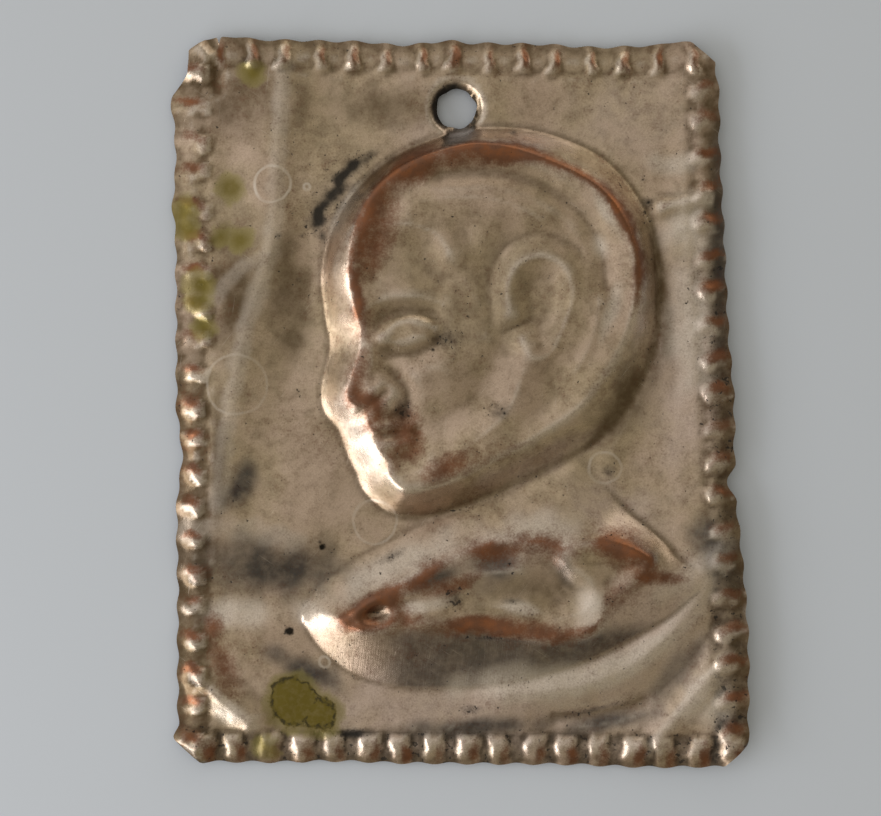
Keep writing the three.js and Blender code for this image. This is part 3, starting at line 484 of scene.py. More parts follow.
# Marks of wear, with painted shade and painted highlights among them, in millimetres from the sheet's middle: x, y,
# half length, half width, turn in degrees
finish = {
    # round stains: x, y, radius; the first two run together into the big one
    "olive": [(-14.6, -26.2, 2.1), (-12.3, -27.3, 1.5), (-20.2, 18.9, 0.75), (-19.3, 14.3, 0.65), (-22.9, 10.3, 0.9),
              (-23.0, 9.0, 0.7), (-24.2, 16.8, 0.9), (-24.0, 15.6, 0.8), (-18.3, 28.8, 0.6), (-17.1, -30.2, 0.6),
              (-22.5, 6.6, 0.6), (-21.0, 14.6, 0.5)],
    "copper": [(-7.0, 14.8, 1.7, 5.0, -14), (-3.6, 20.6, 3.0, 1.8, 32), (1.5, 21.4, 5.5, 1.3, 5),
               (-4.6, -2.6, 1.8, 2.8, 10), (-1.5, -5.6, 2.6, 1.3, 30), (13.6, 16.6, 0.4, 2.0, 28),
               (-7.0, -17.8, 2.6, 1.7, 20), (-1.0, -15.9, 3.4, 1.0, 15), (14.2, -12.9, 3.0, 2.3, -32),
               (3.5, -19.4, 5.0, 1.1, -5), (17.6, -15.3, 2.6, 0.7, -4),
               (-20.6, -23.4, 1.4, 3.4, 25), (-21.6, -19.6, 1.1, 1.4, 0)],
    # plating left within the copper
    "plated": [(-7.1, -18.2, 1.1, 0.8, 10), (11.0, -17.0, 1.6, 2.4, 0), (6.0, -16.0, 5.0, 1.6, 0)],
    # spots of soot
    "sootAndShade": [(-1.2, 5.6, 2.0, 1.6, 0), (3.4, -0.8, 1.6, 1.3, 20), (-0.4, -16.9, 1.1, 1.4, 0),
             (-12.1, 14.6, 0.4, 0.6, 0), (-13.9, 14.7, 0.25, 0.25, 0), (-19.6, -8.0, 0.7, 1.0, 0),
             (1.0, -26.9, 1.6, 0.6, 0), (-12.0, -12.6, 0.3, 0.3, 0), (-5.0, -0.6, 1.3, 1.6, 0),
             (-15.2, -20.0, 0.5, 0.5, 0), (13.0, -6.0, 0.9, 0.8, 0), (-9.5, -28.9, 2.5, 0.6, 0),
             (-6.0, -13.4, 2.0, 0.6, 24), (4.5, -17.2, 1.4, 0.5, 0), (12.2, -26.8, 3.6, 0.35, 14),
             (3.0, -20.5, 5.0, 0.35, -4), (-16.0, 14.6, 0.5, 0.5, 0), (-14.2, 10.8, 0.3, 0.3, 0),
             (4.6, 23.6, 0.5, 0.4, 0), (16.4, 17.6, 0.9, 0.7, 0), (16.0, 19.6, 0.5, 0.3, 0),
             (-19.0, 30.0, 0.5, 0.5, 0)],
    # rosy grey cast; brown film of tarnish, with painted shade along the border ribs; grey film, partly painted
    # shade; and places worn bright, mostly painted highlights; a sixth number is the strength
    "rosy": [(3.0, -26.5, 22.0, 6.0, 3), (17.0, -20.0, 9.0, 7.5, 35), (20.0, 4.0, 5.0, 13.0, 0),
             (4.0, -12.8, 10.0, 3.2, 15), (14.0, -10.0, 5.5, 3.4, -30), (16.0, 25.0, 8.0, 4.5, 0, 0.5),
             (2.0, 23.2, 8.0, 1.6, -5), (6.0, -5.4, 8.0, 1.4, 24)],
    "brown": [(-20.0, 9.5, 3.0, 7.0, -6), (-15.0, 9.5, 2.2, 6.4, 6, 0.75), (-19.0, 27.0, 6.0, 4.6, 0, 0.75),
              (4.5, -16.4, 7.0, 2.4, 0, 0.45), (1.5, 8.0, 9.0, 10.0, 0, 0.26),
              (-14.9, 5.8, 1.8, 1.7, 0, 0.7), (14.5, 0.5, 2.0, 6.5, -32), (17.8, 8.5, 1.0, 7.0, 6),
              # strips along the left and right borders, darkening them; on the left it is painted shade that dims
              # the ribs' highlights
              (-23.8, -14.0, 2.8, 22.0, 0), (23.8, 0.0, 1.9, 50.0, 2.8),
              (-6.5, 26.0, 5.2, 2.2, 0, 0.7), (-21.2, -5.0, 0.9, 8.0, 0)],
    # grey film, partly painted shade: the dark band above the left trough, and a spot dimming a highlight on the
    # bust
    "greyCastAndShade": [(-16.6, -14.4, 8.0, 3.2, -4), (-19.3, -7.2, 1.5, 2.6, -28), (-13.5, -23.4, 4.5, 1.3, -24),
              (-2.2, -15.2, 2.6, 1.0, 20), (22.6, 14.0, 1.2, 12.0, 0),
              (1.0, -28.4, 8.0, 1.0, 3), (13.0, -28.0, 5.0, 0.9, 12), (22.0, -13.0, 2.0, 4.0, 20),
              (3.0, -14.0, 3.0, 1.4, 0), (8.9, -14.4, 0.9, 2.0, 30, 0.8),
              (18.6, -24.0, 1.4, 5.2, -35, 0.55)],
    # places made paler: mostly painted highlights on walls, ridges, dents and folds, some worn pale
    "bright": [(-5.5, -14.2, 7.5, 1.6, 26), (6.5, -11.2, 4.5, 1.7, 8), (13.5, -23.2, 7.5, 1.4, 26),
               (20.2, 6.5, 2.2, 6.5, 0), (18.6, 21.0, 2.4, 1.2, 0), (22.0, -26.5, 2.0, 2.4, 0),
               (-19.5, -18.5, 4.0, 1.6, 0), (12.2, 13.6, 0.8, 1.3, 10), (13.0, 8.0, 0.8, 2.6, -18),
               (19.8, 15.4, 2.2, 3.6, 0), (6.0, -24.2, 9.0, 1.6, 5), (21.0, -25.6, 1.5, 3.4, -35),
               (-9.9, 17.0, 1.0, 3.2, -28),
               (-20.8, -27.0, 2.0, 0.9, -35), (12.6, 16.6, 0.6, 2.6, 32), (-8.5, -3.5, 1.2, 4.0, 30),
               (11.0, -17.4, 1.5, 2.0, 0), (-3.4, -17.6, 3.0, 0.7, 8), (5.0, -17.8, 2.4, 0.7, -12),
               (-13.0, -18.6, 2.0, 1.4, -20)],
    # round pits: x, y, radius
    "pits": [(-12.1, -12.6, 0.30), (-15.0, -20.0, 0.38), (-12.3, -12.2, 0.16), (16.5, 17.6, 0.12), (-2.4, 4.6, 0.14),
             (-3.8, -3.2, 0.10), (3.8, -0.9, 0.16), (16.0, 2.0, 0.10)],
    # the streak of soot beside the head: a line and its half width
    "streak": ([(-6.9, 22.6), (-8.9, 21.3), (-10.5, 19.4), (-11.9, 17.3), (-12.6, 15.8)], 0.85),
    # x, y, radius, how plain
    "rings": [(-16.4, 19.2, 1.6, 0.70), (-19.6, 1.6, 2.6, 0.32), (-7.5, -10.4, 1.9, 0.30), (12.7, -5.7, 1.4, 0.35),
              (-11.9, -22.7, 0.5, 0.50), (-13.5, 19.0, 0.26, 0.50)],
    # folds of the field made pale along their tops, partly worn and partly painted highlight: half width, how much
    "paleFoldTops": {"long fold": (0.75, 0.60), "side fold": (0.60, 0.45), "pull": (0.90, 0.70),
                    "tail pull": (0.80, 0.60), "right crease": (0.30, 1.00), "corner fold": (0.40, 0.90),
                    "left shelf": (0.90, 0.50)},
    # how much copper, and how much soot and painted shade, each cause leaves: about 1 covers the metal; creases, rib
    # hollows, the hole and the foot line get painted shade
    "copperOn": {"ribs": 0.85, "bust line": 0.90, "ridges": 1.60, "patches": 0.78, "plated": -1.10},
    "sootAndShadeIn": {"patches": 0.80, "creases": 2.00, "bottom ribs": 0.62, "right ribs": 0.50, "hole": 1.10,
               "streak": 1.60, "foot line": 0.08},
    # width of the copper line on a crest, in millimetres, and at the back of the head
    "crestWidth": 0.85,
    "backWidth": 0.60,
}


def buildSheet():
    # the plan's grid lifted to the surface, its copy one thickness lower, and walls along every open edge
    plan = planGrid()
    rows, columns = plan.shape[:2]
    x, y = plan[..., 0].ravel().copy(), plan[..., 1].ravel().copy()
    index = np.arange(rows * columns).reshape(rows, columns)
    cells = np.stack([index[:-1, :-1], index[:-1, 1:], index[1:, 1:], index[1:, :-1]], -1).reshape(-1, 4)
    middle = np.hypot(x[cells].mean(1) - hole["x"], y[cells].mean(1) - hole["y"])
    gone, cells = cells[middle < hole["radius"]], cells[middle >= hole["radius"]]
    lip = np.intersect1d(gone, cells)
    turn = np.arctan2(y[lip] - hole["y"], x[lip] - hole["x"])
    ragged = hole["radius"] + hole["ragged"] * (np.sin(5 * turn + 1) + 0.6 * np.sin(8 * turn))
    x[lip], y[lip] = hole["x"] + ragged * np.cos(turn), hole["y"] + ragged * np.sin(turn)
    z, places = surface(x, y)
    onWall = smooth(-places["inBust"] / 0.5 - 1) * smooth(places["inBustFoot"] / 0.5 - 0.4)
    z = softened(z.reshape(rows, columns), onWall.reshape(rows, columns)).ravel()

    count = len(x)
    starts, ends = cells, np.roll(cells, -1, 1)
    oneWay, otherWay = (starts * count + ends).ravel(), (ends * count + starts).ravel()
    rim = ~np.isin(oneWay, otherWay)
    a, b = starts.ravel()[rim], ends.ravel()[rim]
    walls = np.stack([a, a + count, b + count, b], 1)
    faces = np.vstack([cells, cells[:, ::-1] + count, walls])
    points = np.stack([np.tile(x, 2), np.tile(y, 2), np.concatenate([z, z - sheet["thickness"]])], 1)

    used = np.unique(faces)
    renumber = np.zeros(2 * count, int)
    renumber[used] = np.arange(len(used))
    outline = points[np.unique(np.concatenate([a, b]))]
    centre = (outline[:, :2].min(0) + outline[:, :2].max(0)) / 2
    points = points[used] - [centre[0], centre[1], points[used][:, 2].min()]

    mesh = bpy.data.meshes.new("struck sheet")
    mesh.vertices.add(len(points))
    mesh.vertices.foreach_set("co", (points * mm).ravel())
    mesh.loops.add(faces.size)
    mesh.loops.foreach_set("vertex_index", renumber[faces].ravel())
    mesh.polygons.add(len(faces))
    mesh.polygons.foreach_set("loop_start", np.arange(0, faces.size, 4))
    mesh.polygons.foreach_set("use_smooth", np.ones(len(faces), bool))
    mesh.update(calc_edges=True)
    mesh.validate()
    mesh.set_sharp_from_angle(angle=np.radians(60))

    twice = lambda values: np.tile(values, 2)[used]
    proud = standingProud(z.reshape(rows, columns)).ravel()
    wear = wearOf(x, y, proud, places)
    for name, values in wear.items():
        layer = mesh.attributes.new(name, "FLOAT", "POINT")
        layer.data.foreach_set("value", twice(values).astype(np.float32))
    made = bpy.data.objects.new("struckSheet", mesh)
    bpy.context.scene.collection.objects.link(made)
    print("sheet built:", len(faces), "faces,", round(float(points[:, 2].max()), 2), "mm high")
    return made, centre


def softened(z, share):
    # each round moves a point towards the mean of its four neighbours, where the share allows it
    for _ in range(12):
        padded = np.pad(z, 1, mode="edge")
        mean = (padded[:-2, 1:-1] + padded[2:, 1:-1] + padded[1:-1, :-2] + padded[1:-1, 2:]) / 4
        z = z + 0.8 * share * (mean - z)
    return z


def standingProud(z):
    # height above the mean of the surroundings, about a millimetre round: ridges positive, creases negative
    soft = z
    for _ in range(6):
        padded = np.pad(soft, 1, mode="edge")
        soft = (padded[:-2, 1:-1] + padded[2:, 1:-1] + padded[1:-1, :-2] + padded[1:-1, 2:] + 2 * soft) / 6
    return z - soft


def film(x, y, spots):
    # soft spots laid over each other, edges broken by ripples; a sixth number says how strong one is
    level = np.zeros(x.shape)
    stray = 0.16 * ripple(x, y, 3.5, 10, 41)
    for spot in spots:
        strength = spot[5] if len(spot) > 5 else 1.0
        level = np.maximum(level, strength * smooth(0.25 + 0.9 * patches(x, y, [spot[:5]]) + stray))
    return level


def wearOf(x, y, proud, places):
    # copper shows along both crest lines, in uneven width, on the ribs' far flanks and on outward bends
    inHead, inBust = places["inHead"], places["inBust"]
    sway = 0.45 * ripple(x, y, 5.0, 8, 21) + 0.25 * ripple(x, y, 1.6, 8, 22)
    back = smooth((x - 2) / 5) * smooth((y - 2) / 4)
    width = (finish["crestWidth"] + 0.28 * ripple(x, y, 9.0, 6, 23)) * (1 - back) + finish["backWidth"] * back
    fade = 0.78 + 0.38 * (1 - 0.7 * back) * ripple(x, y, 5.0, 8, 24) + 0.30 * back
    kept = smooth((y + 8) / 6) * (1 - smooth((12 - y) / 6) * smooth((x - 2) / 6))
    headCrest = np.exp(-np.abs((inHead - 0.30 + 0.45 * back + 0.8 * sway * (1 - 0.6 * back)) / width) ** 1.5) * kept
    bustCrest = np.exp(-np.abs((inBust - 0.20 + 0.9 * sway) / width) ** 1.5)
    amount = finish["copperOn"]
    copper = fade * np.maximum(headCrest, amount["bust line"] * bustCrest) + amount["ribs"] * places["ribCopper"]
    copper += amount["ridges"] * np.clip(proud - 0.03, 0, 0.15)
    copper += amount["patches"] * np.clip(patches(x, y, finish["copper"]), 0, 1) ** 0.6
    copper += amount["plated"] * np.clip(patches(x, y, finish["plated"]), 0, 1) ** 0.5

    # soot in patches and in the streak; painted shade in creases, in the hollows between ribs, on the shaded side of
    # the hole's funnel and along the foot line
    amount = finish["sootAndShadeIn"]
    sootAndShade = amount["patches"] * np.clip(patches(x, y, finish["sootAndShade"]), 0, 1) ** 0.7
    # painted shade in creases and in the hollows between the bottom ribs
    sootAndShade += amount["creases"] * np.clip(-proud - 0.01, 0, 0.12)
    sootAndShade += amount["bottom ribs"] * places["hollow"] * smooth(-(y + 27) / 2)
    # painted shade on the side of the hole's funnel that faces away from the light
    shadedLipSide = smooth(0.35 - (x - hole["x"] - 0.5 * (y - hole["y"])) / 2.2)
    sootAndShade += amount["hole"] * smooth((2.5 - places["reach"]) / 0.5) * shadedLipSide
    line, half = finish["streak"]
    away = np.clip(distance(x, y, curve(line, False), False) / half + 0.25 * ripple(x, y, 1.3, 8, 28), 0, None)
    broken = (0.85 + 0.30 * ripple(x, y, 1.8, 10, 29)) * smooth((23 - y) / 4 + 0.25)
    sootAndShade += amount["streak"] * np.exp(-away**1.2) * broken
    # painted shade between the right ribs and along the foot of the relief
    sootAndShade += amount["right ribs"] * places["hollow"] * smooth((x - 21) / 1.5) * smooth((16 - y) / 4)
    sootAndShade += amount["foot line"] * np.exp(-((places["inFoot"] + 0.1) / 0.35) ** 2)

    # pale on ridges and along the folds' tops, partly wear and partly painted highlight; brown painted shade in
    # creases and between the ribs; brush lines on the lower wall of the bust, darkened to the right by grey painted
    # shade
    paleWearAndHighlight = smooth(proud / 0.06 - 0.1)
    ragged = 0.25 * ripple(x, y, 2.2, 8, 27)
    for name, (half, much) in finish["paleFoldTops"].items():
        away = distance(x, y, curve(onSheet(field[name][0]), False), False)
        paleWearAndHighlight = np.maximum(paleWearAndHighlight, much * smooth(1.5 - away / half + ragged))
    shadedCreases = smooth(-proud / 0.05 - 0.1)
    brushed = smooth(places["inBustFoot"] / 0.4) * smooth(-places["inBust"] / 0.3) * smooth(-(y + 18.5) / 2)
    return {
        "copper": copper, "sootAndShade": sootAndShade,
        "rosy": film(x, y, finish["rosy"]),
        # brown tarnish, with painted shade in creases and between the ribs
        "brown": np.clip(film(x, y, finish["brown"]) + 0.6 * shadedCreases + 0.28 * places["hollow"], 0, 1),
        # grey film, with painted shade on the bust's lower wall, darker towards the right
        "greyCastAndShade": np.maximum(film(x, y, finish["greyCastAndShade"]), 0.85 * brushed * smooth((x + 9) / 5)),
        # pale places, with painted highlights on ridges and along folds
        "bright": np.clip(film(x, y, finish["bright"]) + 0.8 * paleWearAndHighlight, 0, 1),
        "brushed": brushed,
    }


def linear(hexColour):
    # sRGB hex to linear red, green, blue, alpha
    value = np.array([int(hexColour[i:i + 2], 16) for i in (1, 3, 5)]) / 255
    value = np.where(value <= 0.04045, value / 12.92, ((value + 0.055) / 1.055) ** 2.4)
    return (*value.tolist(), 1.0)


def add(tree, kind, settings=None, links=None, out=0):
    # adds one node, sets its own options, fills or links its sockets, and gives back one output
    made = tree.nodes.new(kind)
    for name, value in (settings or {}).items():
        setattr(made, name, value)
    for socket, value in (links or {}).items():
        if isinstance(value, bpy.types.NodeSocket):
            tree.links.new(value, made.inputs[socket])
        else:
            made.inputs[socket].default_value = value
    return made.outputs[out] if len(made.outputs) else made


# Silver-plated copper, struck over a form and cut by hand, then worn and tarnished: a warm satin metal.
# Its plating has gone from the high lines, and brown, grey and olive films lie in the low ones; the brown and grey
# films also carry painted shade, and the pale places painted highlights.
platedCopper = {
    "plate": "#bdab91",
    "rosyPlate": "#c2ad9b",
    "rosyFilm": "#d4c2bb",
    # the brown and grey films and the soot colour also serve as painted shade, and the pale wear colour as painted
    # highlight
    "brownTarnishAndShade": "#625340",
    "greyTarnishAndShade": "#4d4b4a",
    "paleWearAndHighlight": "#ddd3c8",
    "copper": "#96603f",
    "brownOxide": "#664535",
    "sootAndShade": "#0f0d0b",
    "olive": "#6c6026",
    "oliveHalo": "#857c45",
    "oliveRim": "#2f2a18",
    "roughness": 0.285,
    # noise: size in millimetres, detail, and how rough it is
    "noises": {
        "broad": (9.0, 4, 0.5),
        "clouds": (2.6, 5, 0.5),
        "blotches": (1.3, 3, 0.5),
        "fine": (0.55, 5, 0.6),
        "specks": (0.42, 2, 0.5),
        "grit": (0.16, 2, 0.5),    # real grain is nearer 0.02 mm, too fine to show
    },
    # length and width of a streak in millimetres, and its turns in radians
    "scratches": (4.0, 0.10, (0.6, -0.9, 1.7)),
    "brushing": (2.6, 0.13, (-1.45,)),    # real brush lines are nearer 0.03 mm, too fine to show
    "scratchLevels": (0.70, 0.78),
    # patterns mixed from noise, wear and each other: how much of each
    "mixed": {
        "mottle": {"blotches": 0.6, "fine": 0.4},
        "tone": {"clouds": 0.5, "broad": 1.0},
        "stale": {"clouds": 0.8, "mottle": 1.0},
        "misty": {"broad": 0.9, "blotches": 1.0},
        "bare": {"copper": 1.0, "fine": 1.0, "clouds": 0.9, "grit": 0.5},
        "sootAndShadeFilm": {"sootAndShade": 1.0, "fine": 0.6},
        "crowd": {"specks": 1.0, "sootAndShade": 0.19, "clouds": 0.20},
        "dust": {"grit": 1.0, "sootAndShade": 0.20, "clouds": 0.22},
        "wander": {"fine": 0.7, "blotches": 0.7, "clouds": 1.2},
        "pits": {"pitEdge": 1.0, "fine": 0.5},
        "stain": {"stainEdge": 1.0, "wander": 1.0},
        "bigStain": {"bigStainEdge": 1.0, "wander": 1.0},
    },
    # shares: the pattern, its levels at the start and when full, and how strong the share is at both
    "shares": {
        "plain plate": ("tone", 0.60, 0.90, 0.0, 1.0),
        "stale": ("stale", 0.74, 1.12, 0.0, 0.15),
        "misty": ("misty", 0.90, 1.22, 0.0, 0.15),
        "uneven": ("mottle", 0.25, 0.65, 0.70, 1.0),
        "grains": ("grit", 0.30, 0.70, 0.0, 0.20, "LINEAR"),
        "oxide": ("bare", 1.05, 2.15, 0.0, 0.92),
        "bare copper": ("bare", 1.35, 2.60, 0.0, 0.80, "LINEAR"),
        "bright copper": ("mottle", 0.40, 0.60, 1.0, 0.30),
        "soot film": ("sootAndShadeFilm", 0.42, 1.55, 0.0, 0.95),
        "soot specks": ("crowd", 0.80, 0.88, 0.0, 0.85),
        "soot dust": ("dust", 0.79, 0.90, 0.0, 0.50),
        "pits": ("pits", 0.36, 0.10, 0.0, 0.95),
        "halo": ("stain", 2.30, 1.55, 0.0, 0.60),
        "soft stain": ("stain", 1.75, 0.70, 0.0, 0.80),
        "big stain": ("bigStain", 1.55, 1.15, 0.0, 1.0),
        "mottled stain": ("fine", 0.25, 0.60, 0.70, 0.92),
        "rim": ("rim", 0.22, 0.02, 0.0, 1.0),
        "broken rim": ("specks", 0.36, 0.56, 0.25, 0.85),
        "broken rings": ("mottle", 0.35, 0.60, 0.40, 1.0),
    },
    "films": {"rosy": ("rosyFilm", 0.65), "brown": ("brownTarnishAndShade", 1.0), "greyCastAndShade": ("greyTarnishAndShade", 1.0),
              "bright": ("paleWearAndHighlight", 0.75)},
    "paleScratches": 0.22,
    "rimAt": 1.14,             # millimetres outside the wandering edge of the big stain
    "ringLine": (0.20, 0.03),  # half width where a ring starts to show, and where it is full
    "ringWander": 0.8,
    "addedRoughness": {"clouds": 0.20, "sootAndShadeCover": 0.30, "stained": 0.12, "brushed": 0.10},
    # the metal is lost under painted shade as well as under soot
    "metallicLoss": -0.45,     # under soot and the dark rim
    "brushDepth": (0.45, 0.02),    # where brushed, and everywhere
    "grain": {"fine": 0.28, "clouds": 0.60, "blotches": 0.45, "grit": 0.09, "scratches": -0.06, "lines": 1.0,
              "specked": -0.35},
    "bumpStrength": 0.7,
    "bumpHeight": 0.05,        # millimetres
}


def streaks(tree, inMm, length, width, turns):
    # noise drawn out along a line: the coordinates turned, then shrunk by the length and width of one streak
    drawn = []
    for turn in turns:
        turned = add(tree, "ShaderNodeMapping", links={0: inMm, 2: (0, 0, turn)})
        drawnOut = add(tree, "ShaderNodeMapping", links={0: turned, 3: (1 / length, 1 / width, 1.0)})
        drawn.append(add(tree, "ShaderNodeTexNoise", links={0: drawnOut, 2: 1.0, 3: 2}))
    return drawn


def sumOf(tree, pattern, parts, start=0.0):
    # the start plus each named pattern times its amount
    for name, amount in parts.items():
        start = add(tree, "ShaderNodeMath", {"operation": "MULTIPLY_ADD"}, {0: pattern[name], 1: amount, 2: start})
    return start


def outside(tree, flat, centre, px, py, radius):
    # millimetres outside a round mark: the distance from its middle, less its radius
    middle = (px - centre[0], py - centre[1], 0)
    away = add(tree, "ShaderNodeVectorMath", {"operation": "DISTANCE"}, {0: flat, 1: middle}, out=1)
    return add(tree, "ShaderNodeMath", {"operation": "SUBTRACT"}, {0: away, 1: radius})


def makePlatedCopper(centre):
    look = platedCopper
    colours = {name: linear(value) for name, value in look.items() if isinstance(value, str)}
    material = bpy.data.materials.new("silver-plated copper, struck and worn")
    material.use_nodes = True
    tree = material.node_tree
    tree.nodes.clear()
    maths, remap = "ShaderNodeMath", "ShaderNodeMapRange"
    times, larger, smaller = {"operation": "MULTIPLY"}, {"operation": "MAXIMUM"}, {"operation": "MINIMUM"}

    # patterns in millimetres of the sheet, and the wear stored on it
    coords = add(tree, "ShaderNodeTexCoord", out=3)
    inMm = add(tree, "ShaderNodeMapping", links={0: coords, 3: (1 / mm, 1 / mm, 1 / mm)})
    flat = add(tree, "ShaderNodeVectorMath", times, {0: inMm, 1: (1, 1, 0)})
    pattern = {}
    for name, (size, detail, rough) in look["noises"].items():
        pattern[name] = add(tree, "ShaderNodeTexNoise", links={0: inMm, 2: 1 / size, 3: detail, 4: rough})
    for name in ("copper", "sootAndShade", "rosy", "brown", "greyCastAndShade", "bright", "brushed"):
        pattern[name] = add(tree, "ShaderNodeAttribute", {"attribute_name": name}, out=2)
    start, full = look["scratchLevels"]
    pattern["scratches"] = 0.0
    for lines in streaks(tree, inMm, *look["scratches"]):
        lines = add(tree, remap, {"interpolation_type": "SMOOTHSTEP"}, {0: lines, 1: start, 2: full})
        pattern["scratches"] = add(tree, maths, larger, {0: pattern["scratches"], 1: lines})
    deep, shallow = look["brushDepth"]
    depth = sumOf(tree, pattern, {"brushed": deep}, shallow)
    pattern["lines"] = add(tree, maths, times, {0: streaks(tree, inMm, *look["brushing"])[0], 1: depth})

    # millimetres outside the nearest pit and stain; dried drops left thin pale rings
    marks = {"pitEdge": finish["pits"], "stainEdge": finish["olive"], "bigStainEdge": finish["olive"][:2]}
    for name, spots in marks.items():
        pattern[name] = 9.0    # farther than any mark reaches
        for spot in spots:
            away = outside(tree, flat, centre, *spot)
            pattern[name] = add(tree, maths, smaller, {0: pattern[name], 1: away})
    start, full = look["ringLine"]
    rings = 0.0
    for px, py, radius, plain in finish["rings"]:
        away = outside(tree, flat, centre, px, py, radius + look["ringWander"] / 2)
        off = sumOf(tree, pattern, {"clouds": look["ringWander"]}, away)
        off = add(tree, maths, {"operation": "ABSOLUTE"}, {0: off})
        line = add(tree, remap, {"interpolation_type": "SMOOTHSTEP"}, {0: off, 1: start, 2: full, 4: plain})
        rings = add(tree, maths, larger, {0: rings, 1: line})

    for name, parts in look["mixed"].items():
        pattern[name] = sumOf(tree, pattern, parts)
    rim = add(tree, maths, {"operation": "SUBTRACT"}, {0: pattern["bigStain"], 1: look["rimAt"]})
    pattern["rim"] = add(tree, maths, {"operation": "ABSOLUTE"}, {0: rim})
    share = {}
    for name, (source, start, full, low, high, *kind) in look["shares"].items():
        share[name] = add(tree, remap, {"interpolation_type": kind[0] if kind else "SMOOTHSTEP"},
                          {0: pattern[source], 1: start, 2: full, 3: low, 4: high})

    # plating, rosy and yellowish in clouds, then the films with their painted shade, the pale places with their
    # painted highlights, grain and hair scratches
    metal = add(tree, "ShaderNodeMix", {"data_type": "RGBA"},
                {0: share["plain plate"], 6: colours["rosyPlate"], 7: colours["plate"]}, out=2)
    layers = [(share["stale"], "brownTarnishAndShade"), (share["misty"], "greyTarnishAndShade")]
    for name, (colour, amount) in look["films"].items():
        spread = add(tree, maths, times, {0: pattern[name], 1: share["uneven"]})
        layers.append((add(tree, maths, times, {0: spread, 1: amount}), colour))
    paler = add(tree, maths, times, {0: pattern["scratches"], 1: look["paleScratches"]})
    layers += [(share["grains"], "brownTarnishAndShade"), (paler, "paleWearAndHighlight")]

    # copper where the plating is gone, with a feathered edge of brown oxide
    copper = add(tree, maths, times, {0: share["bare copper"], 1: share["bright copper"]})
    layers += [(share["oxide"], "brownOxide"), (copper, "copper")]

    # soot and painted shade lie in a thin uneven film and in black specks that crowd where it is thick; soot also
    # lies in small pits
    pattern["specked"] = add(tree, maths, larger, {0: share["soot specks"], 1: share["soot dust"]})
    pattern["sootAndShadeCover"] = add(tree, maths, larger, {0: share["soot film"], 1: pattern["specked"]})
    layers += [(pattern["sootAndShadeCover"], "sootAndShade"), (share["pits"], "sootAndShade")]

    # olive stains: a yellowish halo, a mottled middle, and a broken dark rim on the big one; then the rings
    stained = add(tree, maths, larger, {0: share["soft stain"], 1: share["big stain"]})
    pattern["stained"] = add(tree, maths, times, {0: stained, 1: share["mottled stain"]})
    rim = add(tree, maths, times, {0: share["rim"], 1: share["broken rim"]})
    rings = add(tree, maths, times, {0: rings, 1: share["broken rings"]})
    layers += [(share["halo"], "oliveHalo"), (pattern["stained"], "olive"), (rim, "oliveRim"), (rings, "paleWearAndHighlight")]
    for amount, colour in layers:
        metal = add(tree, "ShaderNodeMix", {"data_type": "RGBA"}, {0: amount, 6: metal, 7: colours[colour]}, out=2)

    # rougher under soot and painted shade, stains and brush lines, and less of a metal under soot and painted shade
    rough = sumOf(tree, pattern, look["addedRoughness"], look["roughness"] - look["addedRoughness"]["clouds"] / 2)
    loss = add(tree, maths, larger, {0: pattern["sootAndShadeCover"], 1: rim})
    metallic = add(tree, maths, {"operation": "MULTIPLY_ADD"}, {0: loss, 1: look["metallicLoss"], 2: 1.0})

    # hammered unevenness, fine grain, brush lines and pits
    grain = sumOf(tree, pattern, look["grain"])
    bump = add(tree, "ShaderNodeBump", links={
        "Strength": look["bumpStrength"], "Distance": look["bumpHeight"] * mm, "Height": grain})
    shader = add(tree, "ShaderNodeBsdfPrincipled", links={
        "Base Color": metal, "Metallic": metallic, "Roughness": rough, "Normal": bump})
    add(tree, "ShaderNodeOutputMaterial", links={0: shader})
    return material


layOutSides()
plaque, centre = buildSheet()
plaque.data.materials.append(makePlatedCopper(centre))
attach(plaque, "root")
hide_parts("plaque")
print("plating made")

# Table, light and camera

studio = {
    "table": "#c4ccd9",
    "tableRoughness": 0.5,
    # the sky is brightest towards one side and dimmest opposite; turn from +X, height above the table
    "brightSky": "#e6e2db",
    "dimSky": "#9e9785",
    "skyTurn": 155,
    "skyHeight": 46,
    "skyPower": 2.6,
    "skyStrength": 1.12,
    # name: power, width, height, turn, height above the table, metres away, colour
    "lights": {
        "window": (0.63, 0.40, 0.130, 206, 22, 0.30, "#faf8f7"),
        "pale wall": (0.52, 0.80, 0.22, 68, 16, 0.50, "#f2ebe0"),
    },
    "frameWidth": 77.3,      # millimetres of table across the picture
    "lens": 85,
    "sensor": 36,
    "tableHalf": 0.9,        # metres
    "lookAt": (-1.75, -0.44),
}


def makeStage():
    material = bpy.data.materials.new("matt lacquered table")
    material.use_nodes = True
    shader = material.node_tree.nodes["Principled BSDF"]
    shader.inputs["Base Color"].default_value = linear(studio["table"])
    shader.inputs["Roughness"].default_value = studio["tableRoughness"]
    half = studio["tableHalf"]
    mesh = bpy.data.meshes.new("table")
    mesh.from_pydata([(-half, -half, 0), (half, -half, 0), (half, half, 0), (-half, half, 0)], [], [(0, 1, 2, 3)])
    mesh.materials.append(material)
    table = bpy.data.objects.new("table", mesh)
    bpy.context.scene.collection.objects.link(table)


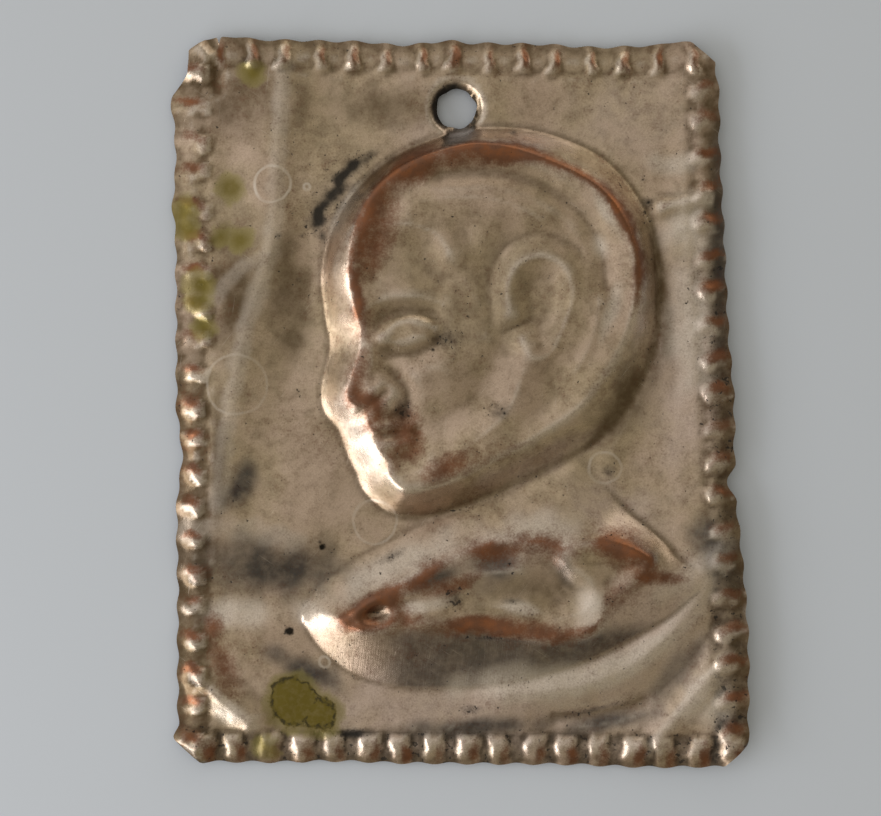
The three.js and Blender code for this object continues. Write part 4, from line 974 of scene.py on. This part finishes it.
def makeSky():
    # dim + (bright - dim) * t^power, where t is the cosine of the angle to the bright direction
    world = bpy.data.worlds.new("room")
    world.use_nodes = True
    tree = world.node_tree
    tree.nodes.clear()
    a, e = np.radians(studio["skyTurn"]), np.radians(studio["skyHeight"])
    towards = (np.cos(e) * np.cos(a), np.cos(e) * np.sin(a), np.sin(e))
    way = add(tree, "ShaderNodeTexCoord", out=0)
    facing = add(tree, "ShaderNodeVectorMath", {"operation": "DOT_PRODUCT"}, {0: way, 1: towards}, out=1)
    share = add(tree, "ShaderNodeMapRange", links={0: facing})
    share = add(tree, "ShaderNodeMath", {"operation": "POWER"}, {0: share, 1: studio["skyPower"]})
    colour = add(tree, "ShaderNodeMix", {"data_type": "RGBA"},
                 {0: share, 6: linear(studio["dimSky"]), 7: linear(studio["brightSky"])}, out=2)
    sky = add(tree, "ShaderNodeBackground", links={0: colour, 1: studio["skyStrength"]})
    add(tree, "ShaderNodeOutputWorld", links={0: sky})
    return world


def makeLight(name, power, size, turn, height, away, colour):
    # a soft rectangular light that faces the plaque
    lamp = bpy.data.lights.new(name, "AREA")
    lamp.shape = "RECTANGLE"
    lamp.size, lamp.size_y = size
    lamp.energy = power
    lamp.color = linear(colour)[:3]
    light = bpy.data.objects.new(name, lamp)
    a, e = np.radians(turn), np.radians(height)
    way = np.array([np.cos(e) * np.cos(a), np.cos(e) * np.sin(a), np.sin(e)])
    light.location = way * away
    light.rotation_euler = (np.pi / 2 - e, 0, a + np.pi / 2)
    bpy.context.scene.collection.objects.link(light)


def makeCamera():
    # straight above the point it looks at, as far up as the lens needs for the width of the picture
    lens = bpy.data.cameras.new("camera")
    lens.lens = studio["lens"]
    lens.sensor_width = studio["sensor"]
    lens.clip_start = 0.01
    camera = bpy.data.objects.new("camera", lens)
    away = (studio["frameWidth"] * studio["lens"] / studio["sensor"] + 1) * mm    # above the sheet's face
    camera.location = ((studio["lookAt"][0] - centre[0]) * mm, (studio["lookAt"][1] - centre[1]) * mm, away)
    bpy.context.scene.collection.objects.link(camera)
    bpy.context.scene.camera = camera


makeStage()
for name, (power, width, height, turn, above, away, colour) in studio["lights"].items():
    makeLight(name, power, (width, height), turn, above, away, colour)
makeCamera()

world = makeSky()
bpy.context.scene.world = world
bpy.context.scene.view_settings.view_transform = "Standard"
print("stage made")
